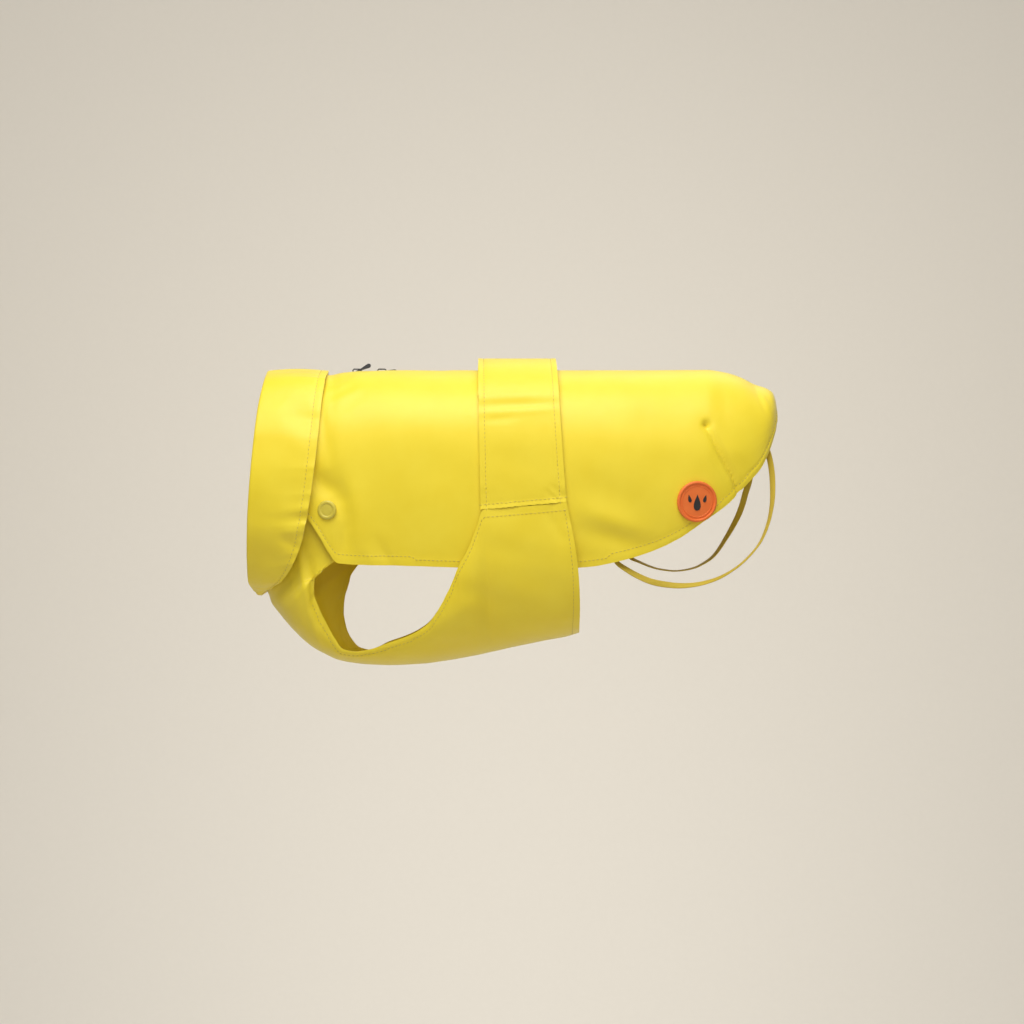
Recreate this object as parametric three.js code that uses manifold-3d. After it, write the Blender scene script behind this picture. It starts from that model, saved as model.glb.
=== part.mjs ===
// A small dog's rain vest, filled out as it is when worn, with no wearer inside.
// Millimetres. +X runs from the head to the tail, +Z is up, and Y = 0 is the middle plane;
// the near side is -Y. The origin is on the inner face of the back panel, at the spine.
import * as THREE from 'three';

// ---- driving dimensions ----------------------------------------------------
const CLOTH = 1.2;            // wall of the coated cloth with its turned hems
const STRAP_CLOTH = 1.5;      // wall of the doubled belly strap
const SEAM_GAP = 0.3;         // pieces lie this far apart where they are sewn or rest
const BODY_ROUND = 2.5;       // how square the rounded sections are: 2 is an ellipse

const COLOURS = {
  cloth: 0xe9d64a, shade: 0xdcc53c, cap: 0xcdbb35, rubber: 0xe9702a, rim: 0xdf6a28,
  tape: 0xe0cb42, black: 0x17181a, elastic: 0xc9ae22,
};

// ---- tables ----------------------------------------------------------------
const table = (names, rows) =>
  rows.map((row) => Object.fromEntries(names.map((name, k) => [name, row[k]])));

// Back panel: each row is one section, from the spine down to the hem.
// wideY is the half width where the section is widest, at wideAt of the way down.
const BACK_ROWS = table(
  ['spineX', 'spineZ', 'hemX', 'hemZ', 'hemY', 'wideY', 'wideAt', 'round'],
  [
    [-147.0, -2.2, -142.8, -95.0, 52.3, 52.6, 0.80, 2.4],
    [-137.2, -2.2, -133.0, -103.1, 53.8, 54.6, 0.78, 2.4],
    [-126.0, -2.8, -124.0, -116.4, 55.2, 56.8, 0.74, 2.4],
    [-117.6, -2.3, -118.3, -126.2, 55.4, 58.2, 0.68, 2.5],
    [-109.0, 0.2, -112.0, -133.6, 55.6, 59.6, 0.62, 2.5],
    [-97.0, 1.2, -99.4, -134.6, 56.8, 61.2, 0.58, 2.5],
    [-70.0, 1.2, -70.0, -135.3, 59.6, 64.6, 0.55, 2.5],
    [-21.0, 1.2, -21.0, -136.7, 62.6, 67.6, 0.55, 2.5],
    [14.0, 1.2, 14.0, -137.4, 62.4, 68.4, 0.55, 2.5],
    [42.0, 1.2, 42.0, -137.4, 61.6, 68.4, 0.55, 2.5],
    [63.0, 1.2, 63.0, -136.0, 61.8, 68.2, 0.56, 2.5],
    [82.0, 1.2, 81.2, -132.5, 62.2, 67.6, 0.57, 2.5],
    [104.0, 1.2, 101.5, -126.9, 60.6, 65.6, 0.60, 2.4],
    [126.0, 1.2, 123.2, -117.1, 58.2, 62.4, 0.66, 2.3],
    [143.5, 1.2, 142.8, -103.8, 55.0, 58.2, 0.72, 2.3],
    [157.0, -0.9, 158.9, -91.9, 50.4, 52.8, 0.78, 2.2],
    [168.0, -4.4, 171.5, -78.6, 45.2, 46.6, 0.84, 2.2],
    [177.8, -9.3, 180.6, -68.1, 39.4, 40.2, 0.88, 2.2],
    [186.0, -12.0, 186.4, -56.9, 32.8, 33.4, 0.90, 2.2],
    [190.4, -15.0, 190.4, -45.7, 25.4, 25.9, 0.90, 2.2],
    [192.4, -20.5, 192.5, -36.6, 18.0, 18.4, 0.90, 2.2],
    [193.2, -25.4, 193.2, -31.0, 12.0, 12.3, 0.90, 2.2],
  ],
);

// Chest and belly panel: each row runs from the middle line underneath up to the side edge.
// farBack is how much further back the far edge lies, bow how far the row swings to the tail.
const UNDER_NAMES = ['midX', 'midZ', 'edgeX', 'edgeZ', 'edgeY', 'round', 'farBack', 'bow'];
const CHEST_ROWS = table(UNDER_NAMES, [
  [-171.5, -138.8, -146.0, -78.6, 48.0, 2.0, 0, 0],
  [-168.7, -145.8, -129.0, -83.5, 51.0, 1.95, 4, 0],
  [-164.8, -149.8, -113.0, -96.8, 51.4, 1.9, 12, 0],
  [-161.6, -156.0, -108.5, -114.3, 51.0, 1.9, 14, 0],
  [-159.6, -161.9, -111.3, -129.0, 50.0, 2.0, 16, 0],
  [-156.1, -166.8, -121.8, -137.4, 48.4, 2.2, 20, 0],
  [-151.2, -172.8, -128.1, -145.1, 46.4, 2.4, 22, 0],
  [-144.9, -180.1, -128.5, -154.2, 43.6, 2.5, 20, 0],
  [-137.9, -187.1, -125.3, -164.7, 40.6, 2.4, 15, 0],
  [-130.2, -193.1, -120.4, -175.2, 37.6, 2.3, 11, 0],
  [-121.8, -197.6, -114.8, -185.7, 34.6, 2.2, 9, 0],
  [-114.1, -201.1, -108.5, -193.8, 32.4, 2.1, 10, 0],
  [-105.0, -203.2, -100.1, -195.2, 31.6, 2.0, 8, 0],
  [-92.4, -204.7, -89.6, -193.4, 33.0, 2.0, 3, 0],
  [-77.0, -205.3, -77.0, -188.9, 36.6, 2.0, 0, 0],
  [-64.4, -204.8, -65.1, -184.7, 40.6, 2.0, 0, 0],
  [-51.8, -203.9, -54.6, -179.4, 45.6, 2.0, 0, 0],
  [-40.6, -202.5, -44.8, -169.6, 52.6, 2.0, 0, 0],
  [-30.8, -201.1, -36.4, -154.2, 60.4, 2.1, 0, 0],
]);
const BELLY_ROWS = table(UNDER_NAMES, [
  [-22.4, -199.6, -28.7, -136.7, 65.8, 2.2, 0, 0],
  [-14.0, -198.0, -21.0, -121.3, 69.0, 2.3, 0, 0],
  [-7.0, -196.4, -15.4, -106.6, 70.5, 2.3, 0, 0],
  [-1.4, -195.2, -11.6, -96.8, 71.0, 2.4, 0, 0],
  [7.0, -193.3, -1.4, -95.8, 71.0, 2.5, 0, 0.5],
  [19.6, -190.6, 14.0, -94.5, 71.0, 2.6, 0, 1.0],
  [33.6, -187.7, 30.1, -93.2, 71.0, 2.7, 0, 2.0],
  [46.9, -185.0, 42.0, -92.0, 71.0, 2.8, 0, 3.0],
  [55.3, -182.6, 45.9, -91.6, 71.0, 2.8, 0, 3.4],
]);

// Collar: a ring turned down over the back panel. Rows go from the spine round to the throat:
// the folded front edge, the stitched free edge behind it, and the neck seam inside.
const COLLAR_ROWS = table(
  ['foldX', 'foldZ', 'foldY', 'edgeX', 'edgeZ', 'edgeY', 'seamX', 'seamZ', 'seamY'],
  [
    [-163.3, 0.7, 0.0, -119.9, 0.8, 0.0, -147.8, -3.6, 0.0],
    [-164.6, -5.0, 21.0, -121.4, -5.6, 31.5, -147.8, -8.4, 24.0],
    [-168.0, -22.0, 38.0, -123.7, -22.6, 46.5, -147.6, -24.0, 40.0],
    [-171.0, -46.9, 49.2, -126.0, -47.8, 57.0, -147.4, -48.0, 48.4],
    [-173.7, -76.2, 53.0, -129.2, -75.8, 61.5, -147.6, -75.0, 50.6],
    [-175.6, -105.6, 49.2, -133.8, -103.8, 60.0, -158.6, -104.0, 43.5],
    [-176.2, -130.4, 38.0, -139.7, -126.2, 53.5, -167.8, -124.0, 29.5],
    [-176.0, -147.0, 21.0, -150.5, -145.3, 38.5, -172.0, -134.5, 14.5],
    [-173.6, -153.2, 0.0, -166.3, -156.2, 0.0, -173.6, -138.6, 0.0],
  ],
);
const COLLAR_FOLD_RADIUS = 1.9;
const COLLAR_BULGE = 1.2;

// Belly strap: the near end crosses the spine on top of the far end.
// rise is how far the strap's outer face stands off the back panel at a height z on each side.
const STRAP = { frontTop: -15.2, frontSeam: -13.2, backTop: 38.6, backSeam: 45.9 };
const STRAP_SEAM = { frontZ: -96.4, backZ: -91.2 };
const STRAP_TOP_RISE = table(['z', 'rise'], [
  [-96, 2.4], [-60, 2.8], [-40, 3.6], [-28, 4.6], [-22, 6.0], [-10, 7.2], [1.2, 8.0],
  [12, 7.4], [24, 6.4], [40, 5.2], [64, 4.6],
]);
const STRAP_UNDER_RISE = table(['z', 'rise'], [
  [-96, 2.4], [-60, 2.6], [-40, 2.7], [-22, 3.6], [-10, 4.6], [1.2, 5.4], [12, 4.8], [22, 3.8],
]);
const STRAP_TOP_FAR_END = 62;      // how far below the spine the near strap ends on the far side
const STRAP_UNDER_NEAR_END = 20;   // and the far strap on the near side, under the near one

// Soft folds of the back panel, as troughs between two points of its side, on both sides.
const BACK_FOLDS = table(['x1', 'z1', 'x2', 'z2', 'depth', 'width'], [
  [-128, -74, -117, -87, 2.6, 8],
  [-112, -76, -107, -104, 2.4, 8],
  [-107, -104, -108, -128, 1.8, 8],
  [143, -38, 162, -80, 1.4, 8],
]);

// Leash opening along the spine, closed by a zip with two sliders.
const ZIP = {
  slotFront: -106, slotBack: -42, slotHalf: 3.5, valleyDepth: 3.0, valleyWidth: 7,
  tapeFront: -116, tapeBack: -31, tapeHalf: 7, tapeWall: 0.8, teethHalf: 2.4, teethHeight: 1.0,
};
const SLIDER = {
  frontX: -100, backX: -82.7, length: 9, width: 6.2, plate: 0.8,
  archHalf: 3.3, archLeg: 0.9, archWidth: 1.6, archTop: 2.2, archBar: 0.9,
};
const TAB = {
  pinZ: 0.15, pinRadius: 0.5, length: 10.6, width: 5.4, armInner: 1.3, eye: 4.3,
  rootThick: 1.2, tipThick: 3.0, frontLean: 26, backLean: -0.5,
};

const BADGE = { x: 135.7, z: -90.9, radius: 14.2, wall: 1.3, rimWidth: 1.9, rimHeight: 2.1 };
const SNAP = { x: -119.4, z: -96.8, radius: 6.7, height: 2.2 };

// Hind-leg elastics: routes from the hem, down and back up to the hem nearer the tail.
const ELASTIC_WIDTH = 3.6;
const ELASTIC_ROUTES = {
  near: [
    [78.0, -58.2, -127.0], [81.2, -57.4, -133.4], [88.9, -56.8, -138.8], [97.0, -56.0, -143.2],
    [105.0, -55.0, -146.4], [115.0, -53.8, -148.4], [125.8, -52.4, -149.2],
    [138.0, -50.6, -148.0], [150.4, -48.6, -144.4], [160.5, -46.6, -139.0],
    [168.3, -44.6, -133.2], [176.0, -42.0, -125.4], [181.8, -39.8, -117.0],
    [186.4, -37.2, -105.4], [188.8, -34.8, -94.0], [189.5, -32.8, -84.8],
    [189.2, -30.2, -71.6], [187.2, -28.8, -59.6], [184.4, -28.0, -52.0],
  ],
  far: [
    [89.0, 58.6, -124.0], [92.4, 57.8, -130.4], [98.6, 56.0, -133.6], [108.0, 55.2, -137.4],
    [116.0, 54.4, -139.2], [124.6, 53.4, -139.9], [134.0, 52.0, -138.6],
    [141.6, 50.6, -135.8], [151.4, 48.4, -128.8], [160.4, 46.0, -115.4],
    [167.2, 43.8, -103.0], [170.8, 42.2, -94.0], [173.2, 40.2, -85.2],
    [176.0, 38.4, -75.6], [177.0, 37.4, -66.0],
  ],
};

// Mesh densities.
const GRID = { back: 38, across: 14, under: 32, underHalf: 9, ring: 32, strap: 6, strapRound: 24 };

// ---- smooth curves through the tables --------------------------------------
function monotoneSlopes(places, values) {
  const last = values.length - 1;
  const steps = places.slice(1).map((p, k) => (values[k + 1] - values[k]) / (p - places[k]));
  return values.map((_, k) => {
    if (k === 0) return steps[0];
    if (k === last) return steps[last - 1];
    const before = steps[k - 1];
    const after = steps[k];
    return before * after <= 0 ? 0 : (2 * before * after) / (before + after);
  });
}

// A function of place that passes smoothly through every row and never overshoots.
function throughRows(rows, places) {
  const names = Object.keys(rows[0]);
  const slopes = names.map((name) => monotoneSlopes(places, rows.map((row) => row[name])));
  return (place) => {
    let k = 0;
    while (k < places.length - 2 && place > places[k + 1]) k += 1;
    const span = places[k + 1] - places[k];
    const t = THREE.MathUtils.clamp((place - places[k]) / span, 0, 1);
    const [t2, t3] = [t * t, t * t * t];
    return Object.fromEntries(names.map((name, n) => [name,
      rows[k][name] * (2 * t3 - 3 * t2 + 1) + rows[k + 1][name] * (3 * t2 - 2 * t3)
      + span * (slopes[n][k] * (t3 - 2 * t2 + t) + slopes[n][k + 1] * (t3 - t2))]));
  };
}

// Places of rows along the piece: the mean distance that their two ends travel.
function rowPlaces(rows, firstEnd, secondEnd) {
  const places = [0];
  for (let k = 1; k < rows.length; k += 1) {
    const moved = [firstEnd, secondEnd].map(([x, z]) =>
      Math.hypot(rows[k][x] - rows[k - 1][x], rows[k][z] - rows[k - 1][z]));
    places.push(places[k - 1] + (moved[0] + moved[1]) / 2);
  }
  return places;
}

const mirrored = (widths) => [...widths.map((y) => -y).reverse(), 0, ...widths];
const spread = (from, to, count) =>
  Array.from({ length: count + 1 }, (_, k) => from + ((to - from) * k) / count);

// ---- sections --------------------------------------------------------------
const SECTION_STEPS = 48;

// Half a rounded section: points [distance down the row, half width] from the middle line
// to the edge, a superellipse as far as the widest point and a gentle closing in after it.
function halfSection(drop, wideY, wideAt, edgeY, round) {
  const wideDrop = drop * Math.min(wideAt, 1);
  const points = spread(0, Math.PI / 2, SECTION_STEPS).map((angle) => [
    wideDrop * (1 - Math.cos(angle) ** (2 / round)), wideY * Math.sin(angle) ** (2 / round)]);
  if (wideAt < 1) {
    const reach = (drop - wideDrop) / Math.sqrt(1 - (edgeY / wideY) ** 2);
    for (const down of spread(wideDrop, drop, SECTION_STEPS / 2).slice(1)) {
      points.push([down, wideY * Math.sqrt(1 - ((down - wideDrop) / reach) ** 2)]);
    }
  }
  return points;
}

// The point at a fraction of a polyline's length, and that whole length.
function alongPolyline(points, fraction) {
  const lengths = [0];
  for (let k = 1; k < points.length; k += 1) {
    lengths.push(lengths[k - 1]
      + Math.hypot(points[k][0] - points[k - 1][0], points[k][1] - points[k - 1][1]));
  }
  const whole = lengths[lengths.length - 1];
  const wanted = THREE.MathUtils.clamp(fraction, 0, 1) * whole;
  let k = 1;
  while (k < lengths.length - 1 && lengths[k] < wanted) k += 1;
  const t = (wanted - lengths[k - 1]) / (lengths[k] - lengths[k - 1] || 1);
  return {
    at: [0, 1].map((c) => points[k - 1][c] + (points[k][c] - points[k - 1][c]) * t),
    whole,
  };
}

// A row's point: across runs from -1 (near edge) over 0 (middle line) to 1 (far edge).
function rowPoint(row, mid, edge, section, across, bow = 0) {
  const { at: [down, wide] } = alongPolyline(section, Math.abs(across));
  const drop = section[section.length - 1][0];
  const f = down / drop;
  return new THREE.Vector3(
    row[mid[0]] + (row[edge[0]] - row[mid[0]]) * f + bow * Math.sin(Math.PI * f),
    Math.sign(across) * wide,
    row[mid[1]] + (row[edge[1]] - row[mid[1]]) * f,
  );
}

// ---- surfaces --------------------------------------------------------------
const SPINE = ['spineX', 'spineZ'];
const HEM = ['hemX', 'hemZ'];
const backPlaces = rowPlaces(BACK_ROWS, SPINE, HEM);
const backRow = throughRows(BACK_ROWS, backPlaces);
const backLength = backPlaces[backPlaces.length - 1];

function backSection(row) {
  const drop = Math.hypot(row.hemX - row.spineX, row.hemZ - row.spineZ);
  return halfSection(drop, row.wideY, row.wideAt, row.hemY, row.round);
}

function backPlain(place, across) {
  const row = backRow(place);
  const point = rowPoint(row, SPINE, HEM, backSection(row), across);
  const inside = 1 - THREE.MathUtils.smoothstep(
    Math.abs(point.x - (ZIP.slotFront + ZIP.slotBack) / 2),
    (ZIP.slotBack - ZIP.slotFront) / 2, (ZIP.slotBack - ZIP.slotFront) / 2 + 9);
  point.z -= ZIP.valleyDepth * inside * Math.exp(-((point.y / ZIP.valleyWidth) ** 2));
  return point;
}

const NUDGE = 0.004;
function normalOf(surface, place, across, length) {
  const step = NUDGE * length;
  const along = surface(Math.min(place + step, length), across)
    .sub(surface(Math.max(place - step, 0), across));
  const over = surface(place, Math.min(across + NUDGE, 1))
    .sub(surface(place, Math.max(across - NUDGE, -1)));
  return over.cross(along).multiplyScalar(-1).normalize();
}

const distanceToSegment = (x, z, fold) => {
  const [dx, dz] = [fold.x2 - fold.x1, fold.z2 - fold.z1];
  const t = THREE.MathUtils.clamp(
    ((x - fold.x1) * dx + (z - fold.z1) * dz) / (dx * dx + dz * dz), 0, 1);
  return Math.hypot(x - fold.x1 - t * dx, z - fold.z1 - t * dz);
};

const foldDepth = (point) => BACK_FOLDS.reduce((sum, fold) =>
  sum + fold.depth * Math.exp(-((distanceToSegment(point.x, point.z, fold) / fold.width) ** 2)), 0);

// A point of the back panel's outer face, moved out along its normal by rise.
function backFace(place, across, rise = 0) {
  const point = backPlain(place, across);
  const normal = normalOf(backPlain, place, across, backLength);
  return { point: point.clone().addScaledVector(normal, rise - foldDepth(point)), normal };
}

// The place and the fraction across of the back panel's point that lies at x and z on a side.
function findOnBack(x, z, side) {
  let [place, across, reach] = [backLength / 2, 0.5, 0.5];
  const miss = (p, a) => {
    const point = backPlain(p, side * a);
    return Math.hypot(point.x - x, point.z - z);
  };
  let best = Infinity;
  for (const p of spread(0, backLength, 60)) {
    for (const a of spread(0.02, 1, 24)) {
      const gap = miss(p, a);
      if (gap < best) [best, place, across] = [gap, p, a];
    }
  }
  reach = 1 / 48;
  for (let round = 0; round < 40; round += 1) {
    for (const [dp, da] of [[1, 0], [-1, 0], [0, 1], [0, -1]]) {
      const p = THREE.MathUtils.clamp(place + dp * reach * backLength, 0, backLength);
      const a = THREE.MathUtils.clamp(across + da * reach, 0.001, 1);
      const gap = miss(p, a);
      if (gap < best) [best, place, across] = [gap, p, a];
    }
    reach *= 0.8;
  }
  return { place, across: side * across };
}

function onBack(x, z, side, rise) {
  const { place, across } = findOnBack(x, z, side);
  return backFace(place, across, rise);
}

// ---- solids from grids -----------------------------------------------------
// A closed wall from a grid of outer points: inner points lie behind them by the wall, cells
// that open() names are left out, and every free edge is closed. around joins last to first.
function wallFromGrid(outer, inner, { around = false, open = () => false } = {}) {
  const [rows, columns] = [outer.length, outer[0].length];
  const positions = [...outer.flat(), ...inner.flat()].flatMap((p) => [p.x, p.y, p.z]);
  const index = (layer, i, j) => layer * rows * columns + (i % rows) * columns + j;
  const faces = [];
  const quad = (a, b, c, d) => faces.push(a, b, c, a, c, d);
  const lastRow = around ? rows : rows - 1;
  const solid = (i, j) => {
    const row = around ? (i + rows) % rows : i;
    return row >= 0 && row < lastRow && j >= 0 && j < columns - 1 && !open(row, j);
  };
  for (let i = 0; i < lastRow; i += 1) {
    for (let j = 0; j < columns - 1; j += 1) {
      if (!solid(i, j)) continue;
      const corners = [[i, j], [i + 1, j], [i + 1, j + 1], [i, j + 1]];
      const [a, b, c, d] = corners.map(([r, s]) => index(0, r, s));
      const [e, f, g, h] = corners.map(([r, s]) => index(1, r, s));
      quad(a, b, c, d);
      quad(h, g, f, e);
      if (!solid(i, j - 1)) quad(b, a, e, f);
      if (!solid(i, j + 1)) quad(d, c, g, h);
      if (!solid(i - 1, j)) quad(a, d, h, e);
      if (!solid(i + 1, j)) quad(c, b, f, g);
    }
  }
  const geometry = new THREE.BufferGeometry();
  geometry.setAttribute('position', new THREE.Float32BufferAttribute(positions, 3));
  geometry.setIndex(faces);
  return facingOut(dropUnused(geometry));
}

// Leaves out grid points that no face uses.
function dropUnused(geometry) {
  const used = [...new Set(geometry.index.array)].sort((a, b) => a - b);
  const renamed = new Map(used.map((old, k) => [old, k]));
  const source = geometry.attributes.position;
  const kept = used.flatMap((k) => [source.getX(k), source.getY(k), source.getZ(k)]);
  const clean = new THREE.BufferGeometry();
  clean.setAttribute('position', new THREE.Float32BufferAttribute(kept, 3));
  clean.setIndex([...geometry.index.array].map((k) => renamed.get(k)));
  return clean;
}

function signedVolume(geometry) {
  const [position, index] = [geometry.attributes.position, geometry.index];
  const corner = (k) => new THREE.Vector3().fromBufferAttribute(position, index.getX(k));
  let volume = 0;
  for (let k = 0; k < index.count; k += 3) {
    volume += corner(k).dot(corner(k + 1).cross(corner(k + 2)));
  }
  return volume / 6;
}

function facingOut(geometry) {
  if (signedVolume(geometry) < 0) {
    const turned = [...geometry.index.array];
    for (let k = 0; k < turned.length; k += 3) {
      [turned[k], turned[k + 1]] = [turned[k + 1], turned[k]];
    }
    geometry.setIndex(turned);
  }
  return geometry;
}

// Unit normals of a grid, pointing the way that `toward` does at each point.
function gridNormals(grid, around, toward) {
  const [rows, columns] = [grid.length, grid[0].length];
  const at = (i, j) => grid[around ? (i + rows) % rows : THREE.MathUtils.clamp(i, 0, rows - 1)][
    THREE.MathUtils.clamp(j, 0, columns - 1)];
  return grid.map((line, i) => line.map((point, j) => {
    const along = at(i + 1, j).clone().sub(at(i - 1, j));
    const over = at(i, j + 1).clone().sub(at(i, j - 1));
    const normal = along.cross(over).normalize();
    return normal.dot(toward(point, i, j)) < 0 ? normal.negate() : normal;
  }));
}

const pushed = (grid, normals, distance) => grid.map((line, i) =>
  line.map((point, j) => point.clone().addScaledVector(normals[i][j], distance)));

// ---- scene graph -----------------------------------------------------------
const group = new THREE.Group();

function add(name, geometry, color, roughness = 0.5, metalness = 0, parent = group) {
  const material = new THREE.MeshStandardMaterial({ color, roughness, metalness });
  const mesh = new THREE.Mesh(geometry, material);
  mesh.name = name;
  parent.add(mesh);
  return mesh;
}

// ---- back panel ------------------------------------------------------------
// Stations along the panel, two of them moved on to the ends of the zip's slot.
function backStations() {
  const stations = spread(0, backLength, GRID.back);
  for (const x of [ZIP.slotFront, ZIP.slotBack]) {
    const wanted = findPlaceAtSpine(x);
    const nearest = stations.reduce((best, place, k) =>
      (Math.abs(place - wanted) < Math.abs(stations[best] - wanted) ? k : best), 0);
    stations[nearest] = wanted;
  }
  return stations;
}

function findPlaceAtSpine(x) {
  let [low, high] = [0, backLength];
  for (let k = 0; k < 40; k += 1) {
    const middle = (low + high) / 2;
    if (backRow(middle).spineX < x) low = middle;
    else high = middle;
  }
  return (low + high) / 2;
}

// Fractions across the whole panel, with a line at each edge of the zip's slot.
function backAcross(place) {
  const { whole } = alongPolyline(backSection(backRow(place)), 1);
  const unit = Math.min(ZIP.slotHalf / whole, 0.04);
  const half = [0, unit, 2 * unit, ...spread(3.2 * unit, 1, GRID.across - 3)];
  return [...half.slice(1).reverse().map((a) => -a), ...half];
}

function buildBackPanel() {
  const stations = backStations();
  const faces = stations.map((place) => backAcross(place).map((a) => backFace(place, a)));
  const outer = faces.map((line) => line.map((face) => face.point));
  const inner = faces.map((line) => line.map(({ point, normal }) =>
    point.clone().addScaledVector(normal, -CLOTH)));
  const middle = GRID.across;
  const inSlot = (i, j) => {
    const x = (backRow(stations[i]).spineX + backRow(stations[i + 1]).spineX) / 2;
    return x > ZIP.slotFront && x < ZIP.slotBack && (j === middle - 1 || j === middle);
  };
  add('back_panel', wallFromGrid(outer, inner, { open: inSlot }), COLOURS.cloth);
}

// ---- chest and belly panel -------------------------------------------------
const MID = ['midX', 'midZ'];
const EDGE = ['edgeX', 'edgeZ'];
const UNDER_REST = CLOTH + 0.9;   // how far the belly's outer face stands off the back panel

// Chest rows tuck in under the back panel; belly rows lie on top of it.
function underRows() {
  const tucked = CHEST_ROWS.map((row) => {
    if (row.edgeZ < -132) return row;
    const over = onBack(row.edgeX, row.edgeZ, 1, 0).point.y - CLOTH - 2 * SEAM_GAP;
    return { ...row, edgeY: Math.min(row.edgeY, over) };
  });
  const laid = BELLY_ROWS.map((row) => {
    const { point } = onBack(row.edgeX, row.edgeZ, 1, UNDER_REST);
    return { ...row, edgeY: Math.max(point.y, row.edgeY - 2) };
  });
  return [...tucked, ...laid];
}

const underTable = underRows();
const underPlaces = rowPlaces(underTable, MID, EDGE);
const underRow = throughRows(underTable, underPlaces);
const underLength = underPlaces[underPlaces.length - 1];

function underFace(place, across) {
  const row = underRow(place);
  const edgeX = row.edgeX + (across > 0 ? row.farBack : 0);
  const shaped = { ...row, edgeX };
  const drop = Math.hypot(edgeX - row.midX, row.edgeZ - row.midZ);
  const section = halfSection(drop, row.edgeY, 1, row.edgeY, row.round);
  return rowPoint(shaped, MID, EDGE, section, across, row.bow);
}

function buildUnderPanel() {
  const columns = spread(-1, 1, 2 * GRID.underHalf);
  const outer = spread(0, underLength, GRID.under).map((place) =>
    columns.map((across) => underFace(place, across)));
  const centre = new THREE.Vector3(-60, 0, -90);
  const normals = gridNormals(outer, false, (point) => point.clone().sub(centre));
  add('chest_belly_panel', wallFromGrid(outer, pushed(outer, normals, -CLOTH)), COLOURS.shade);
}

// ---- collar ----------------------------------------------------------------
const LEAF_STEPS = 4;
const FOLD_STEPS = 4;
const collarPlaces = spread(0, 1, COLLAR_ROWS.length - 1);
const collarRow = throughRows(COLLAR_ROWS, collarPlaces);

// One profile of the collar: free edge, outer leaf, round fold, inner leaf, neck seam.
function collarProfile(turn) {
  const side = turn <= 0.5 ? -1 : 1;
  const way = turn <= 0.5 ? 2 * turn : 2 - 2 * turn;
  const row = collarRow(way);
  const point = (name) => new THREE.Vector3(row[`${name}X`], side * row[`${name}Y`], row[`${name}Z`]);
  const [fold, edge, seam] = [point('fold'), point('edge'), point('seam')];
  const back = edge.clone().sub(fold).normalize();
  const out = new THREE.Vector3(0, fold.y / 53, (fold.z + 76.2) / 76.7).normalize();
  out.addScaledVector(back, -out.dot(back)).normalize();
  const r = COLLAR_FOLD_RADIUS;
  const centre = fold.clone().addScaledVector(back, r).addScaledVector(out, -r);
  const foldStart = centre.clone().addScaledVector(out, r);
  const foldEnd = centre.clone().addScaledVector(out, -r);
  const leaf = spread(0, 1, LEAF_STEPS).slice(0, -1).map((t) =>
    edge.clone().lerp(foldStart, t).addScaledVector(out, COLLAR_BULGE * Math.sin(Math.PI * t)));
  const turnOver = spread(0, Math.PI, FOLD_STEPS).map((angle) => centre.clone()
    .addScaledVector(out, r * Math.cos(angle)).addScaledVector(back, -r * Math.sin(angle)));
  const innerLeaf = [0.5, 1].map((t) => foldEnd.clone().lerp(seam, t));
  return { points: [...leaf, ...turnOver, ...innerLeaf], gap: centre };
}

function buildCollar() {
  const profiles = spread(0, 1, GRID.ring).slice(0, -1).map(collarProfile);
  const outer = profiles.map((profile) => profile.points);
  const middle = profiles.map((profile) => {
    const last = profile.points.length - 1;
    return profile.points[last].clone().lerp(profile.points[2], 0.5);
  });
  const normals = gridNormals(outer, true, (point, i, j) => {
    const inLeaf = j <= LEAF_STEPS ? profiles[i].gap.clone().lerp(middle[i], 0.4) : null;
    return point.clone().sub(inLeaf ?? profiles[i].gap.clone().lerp(middle[i], 0.3));
  });
  add('collar', wallFromGrid(outer, pushed(outer, normals, -CLOTH), { around: true }),
    COLOURS.cloth);
}

// ---- belly strap -----------------------------------------------------------
const riseAt = (rows) => throughRows(rows, rows.map((row) => row.z));

// A strap made from the back panel's own points, moved out. Its round coordinate is a signed
// height below the spine: negative on its own side, positive where it has crossed over.
function strapGrid(ownSide, rises, crossedEnd) {
  const rise = riseAt(rises);
  return spread(0, 1, GRID.strap).map((t) => {
    const seamZ = THREE.MathUtils.lerp(STRAP_SEAM.frontZ, STRAP_SEAM.backZ, t);
    const topX = THREE.MathUtils.lerp(STRAP.frontTop, STRAP.backTop, t);
    const seamX = THREE.MathUtils.lerp(STRAP.frontSeam, STRAP.backSeam, t);
    const ends = [findOnBack(seamX, seamZ, ownSide), findOnBack(topX, -crossedEnd, -ownSide)];
    return spread(0, 1, GRID.strapRound).map((f) => {
      const across = THREE.MathUtils.lerp(ends[0].across, ends[1].across, f);
      const own = Math.sign(across) === ownSide;
      const down = Math.abs(across) / Math.abs(ends[0].across);
      const x = own ? THREE.MathUtils.lerp(topX, seamX, down ** 1.5) : topX;
      const place = findPlaceAtSpine(x);
      const flat = backPlain(place, across);
      const signedZ = own ? flat.z : Math.max(1.2, 2.4 - flat.z);
      return backFace(place, across, rise(signedZ).rise);
    });
  });
}

function buildStrap(name, ownSide, rises, crossedEnd) {
  const grid = strapGrid(ownSide, rises, crossedEnd);
  const outer = grid.map((line) => line.map((face) => face.point));
  const centre = new THREE.Vector3(0, 0, -70);
  const normals = gridNormals(outer, false, (point) => point.clone().sub(centre).setX(0));
  add(name, wallFromGrid(outer, pushed(outer, normals, -STRAP_CLOTH)), COLOURS.cloth);
}

// ---- rubber badge ----------------------------------------------------------
const BADGE_SIDES = 28;

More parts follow.
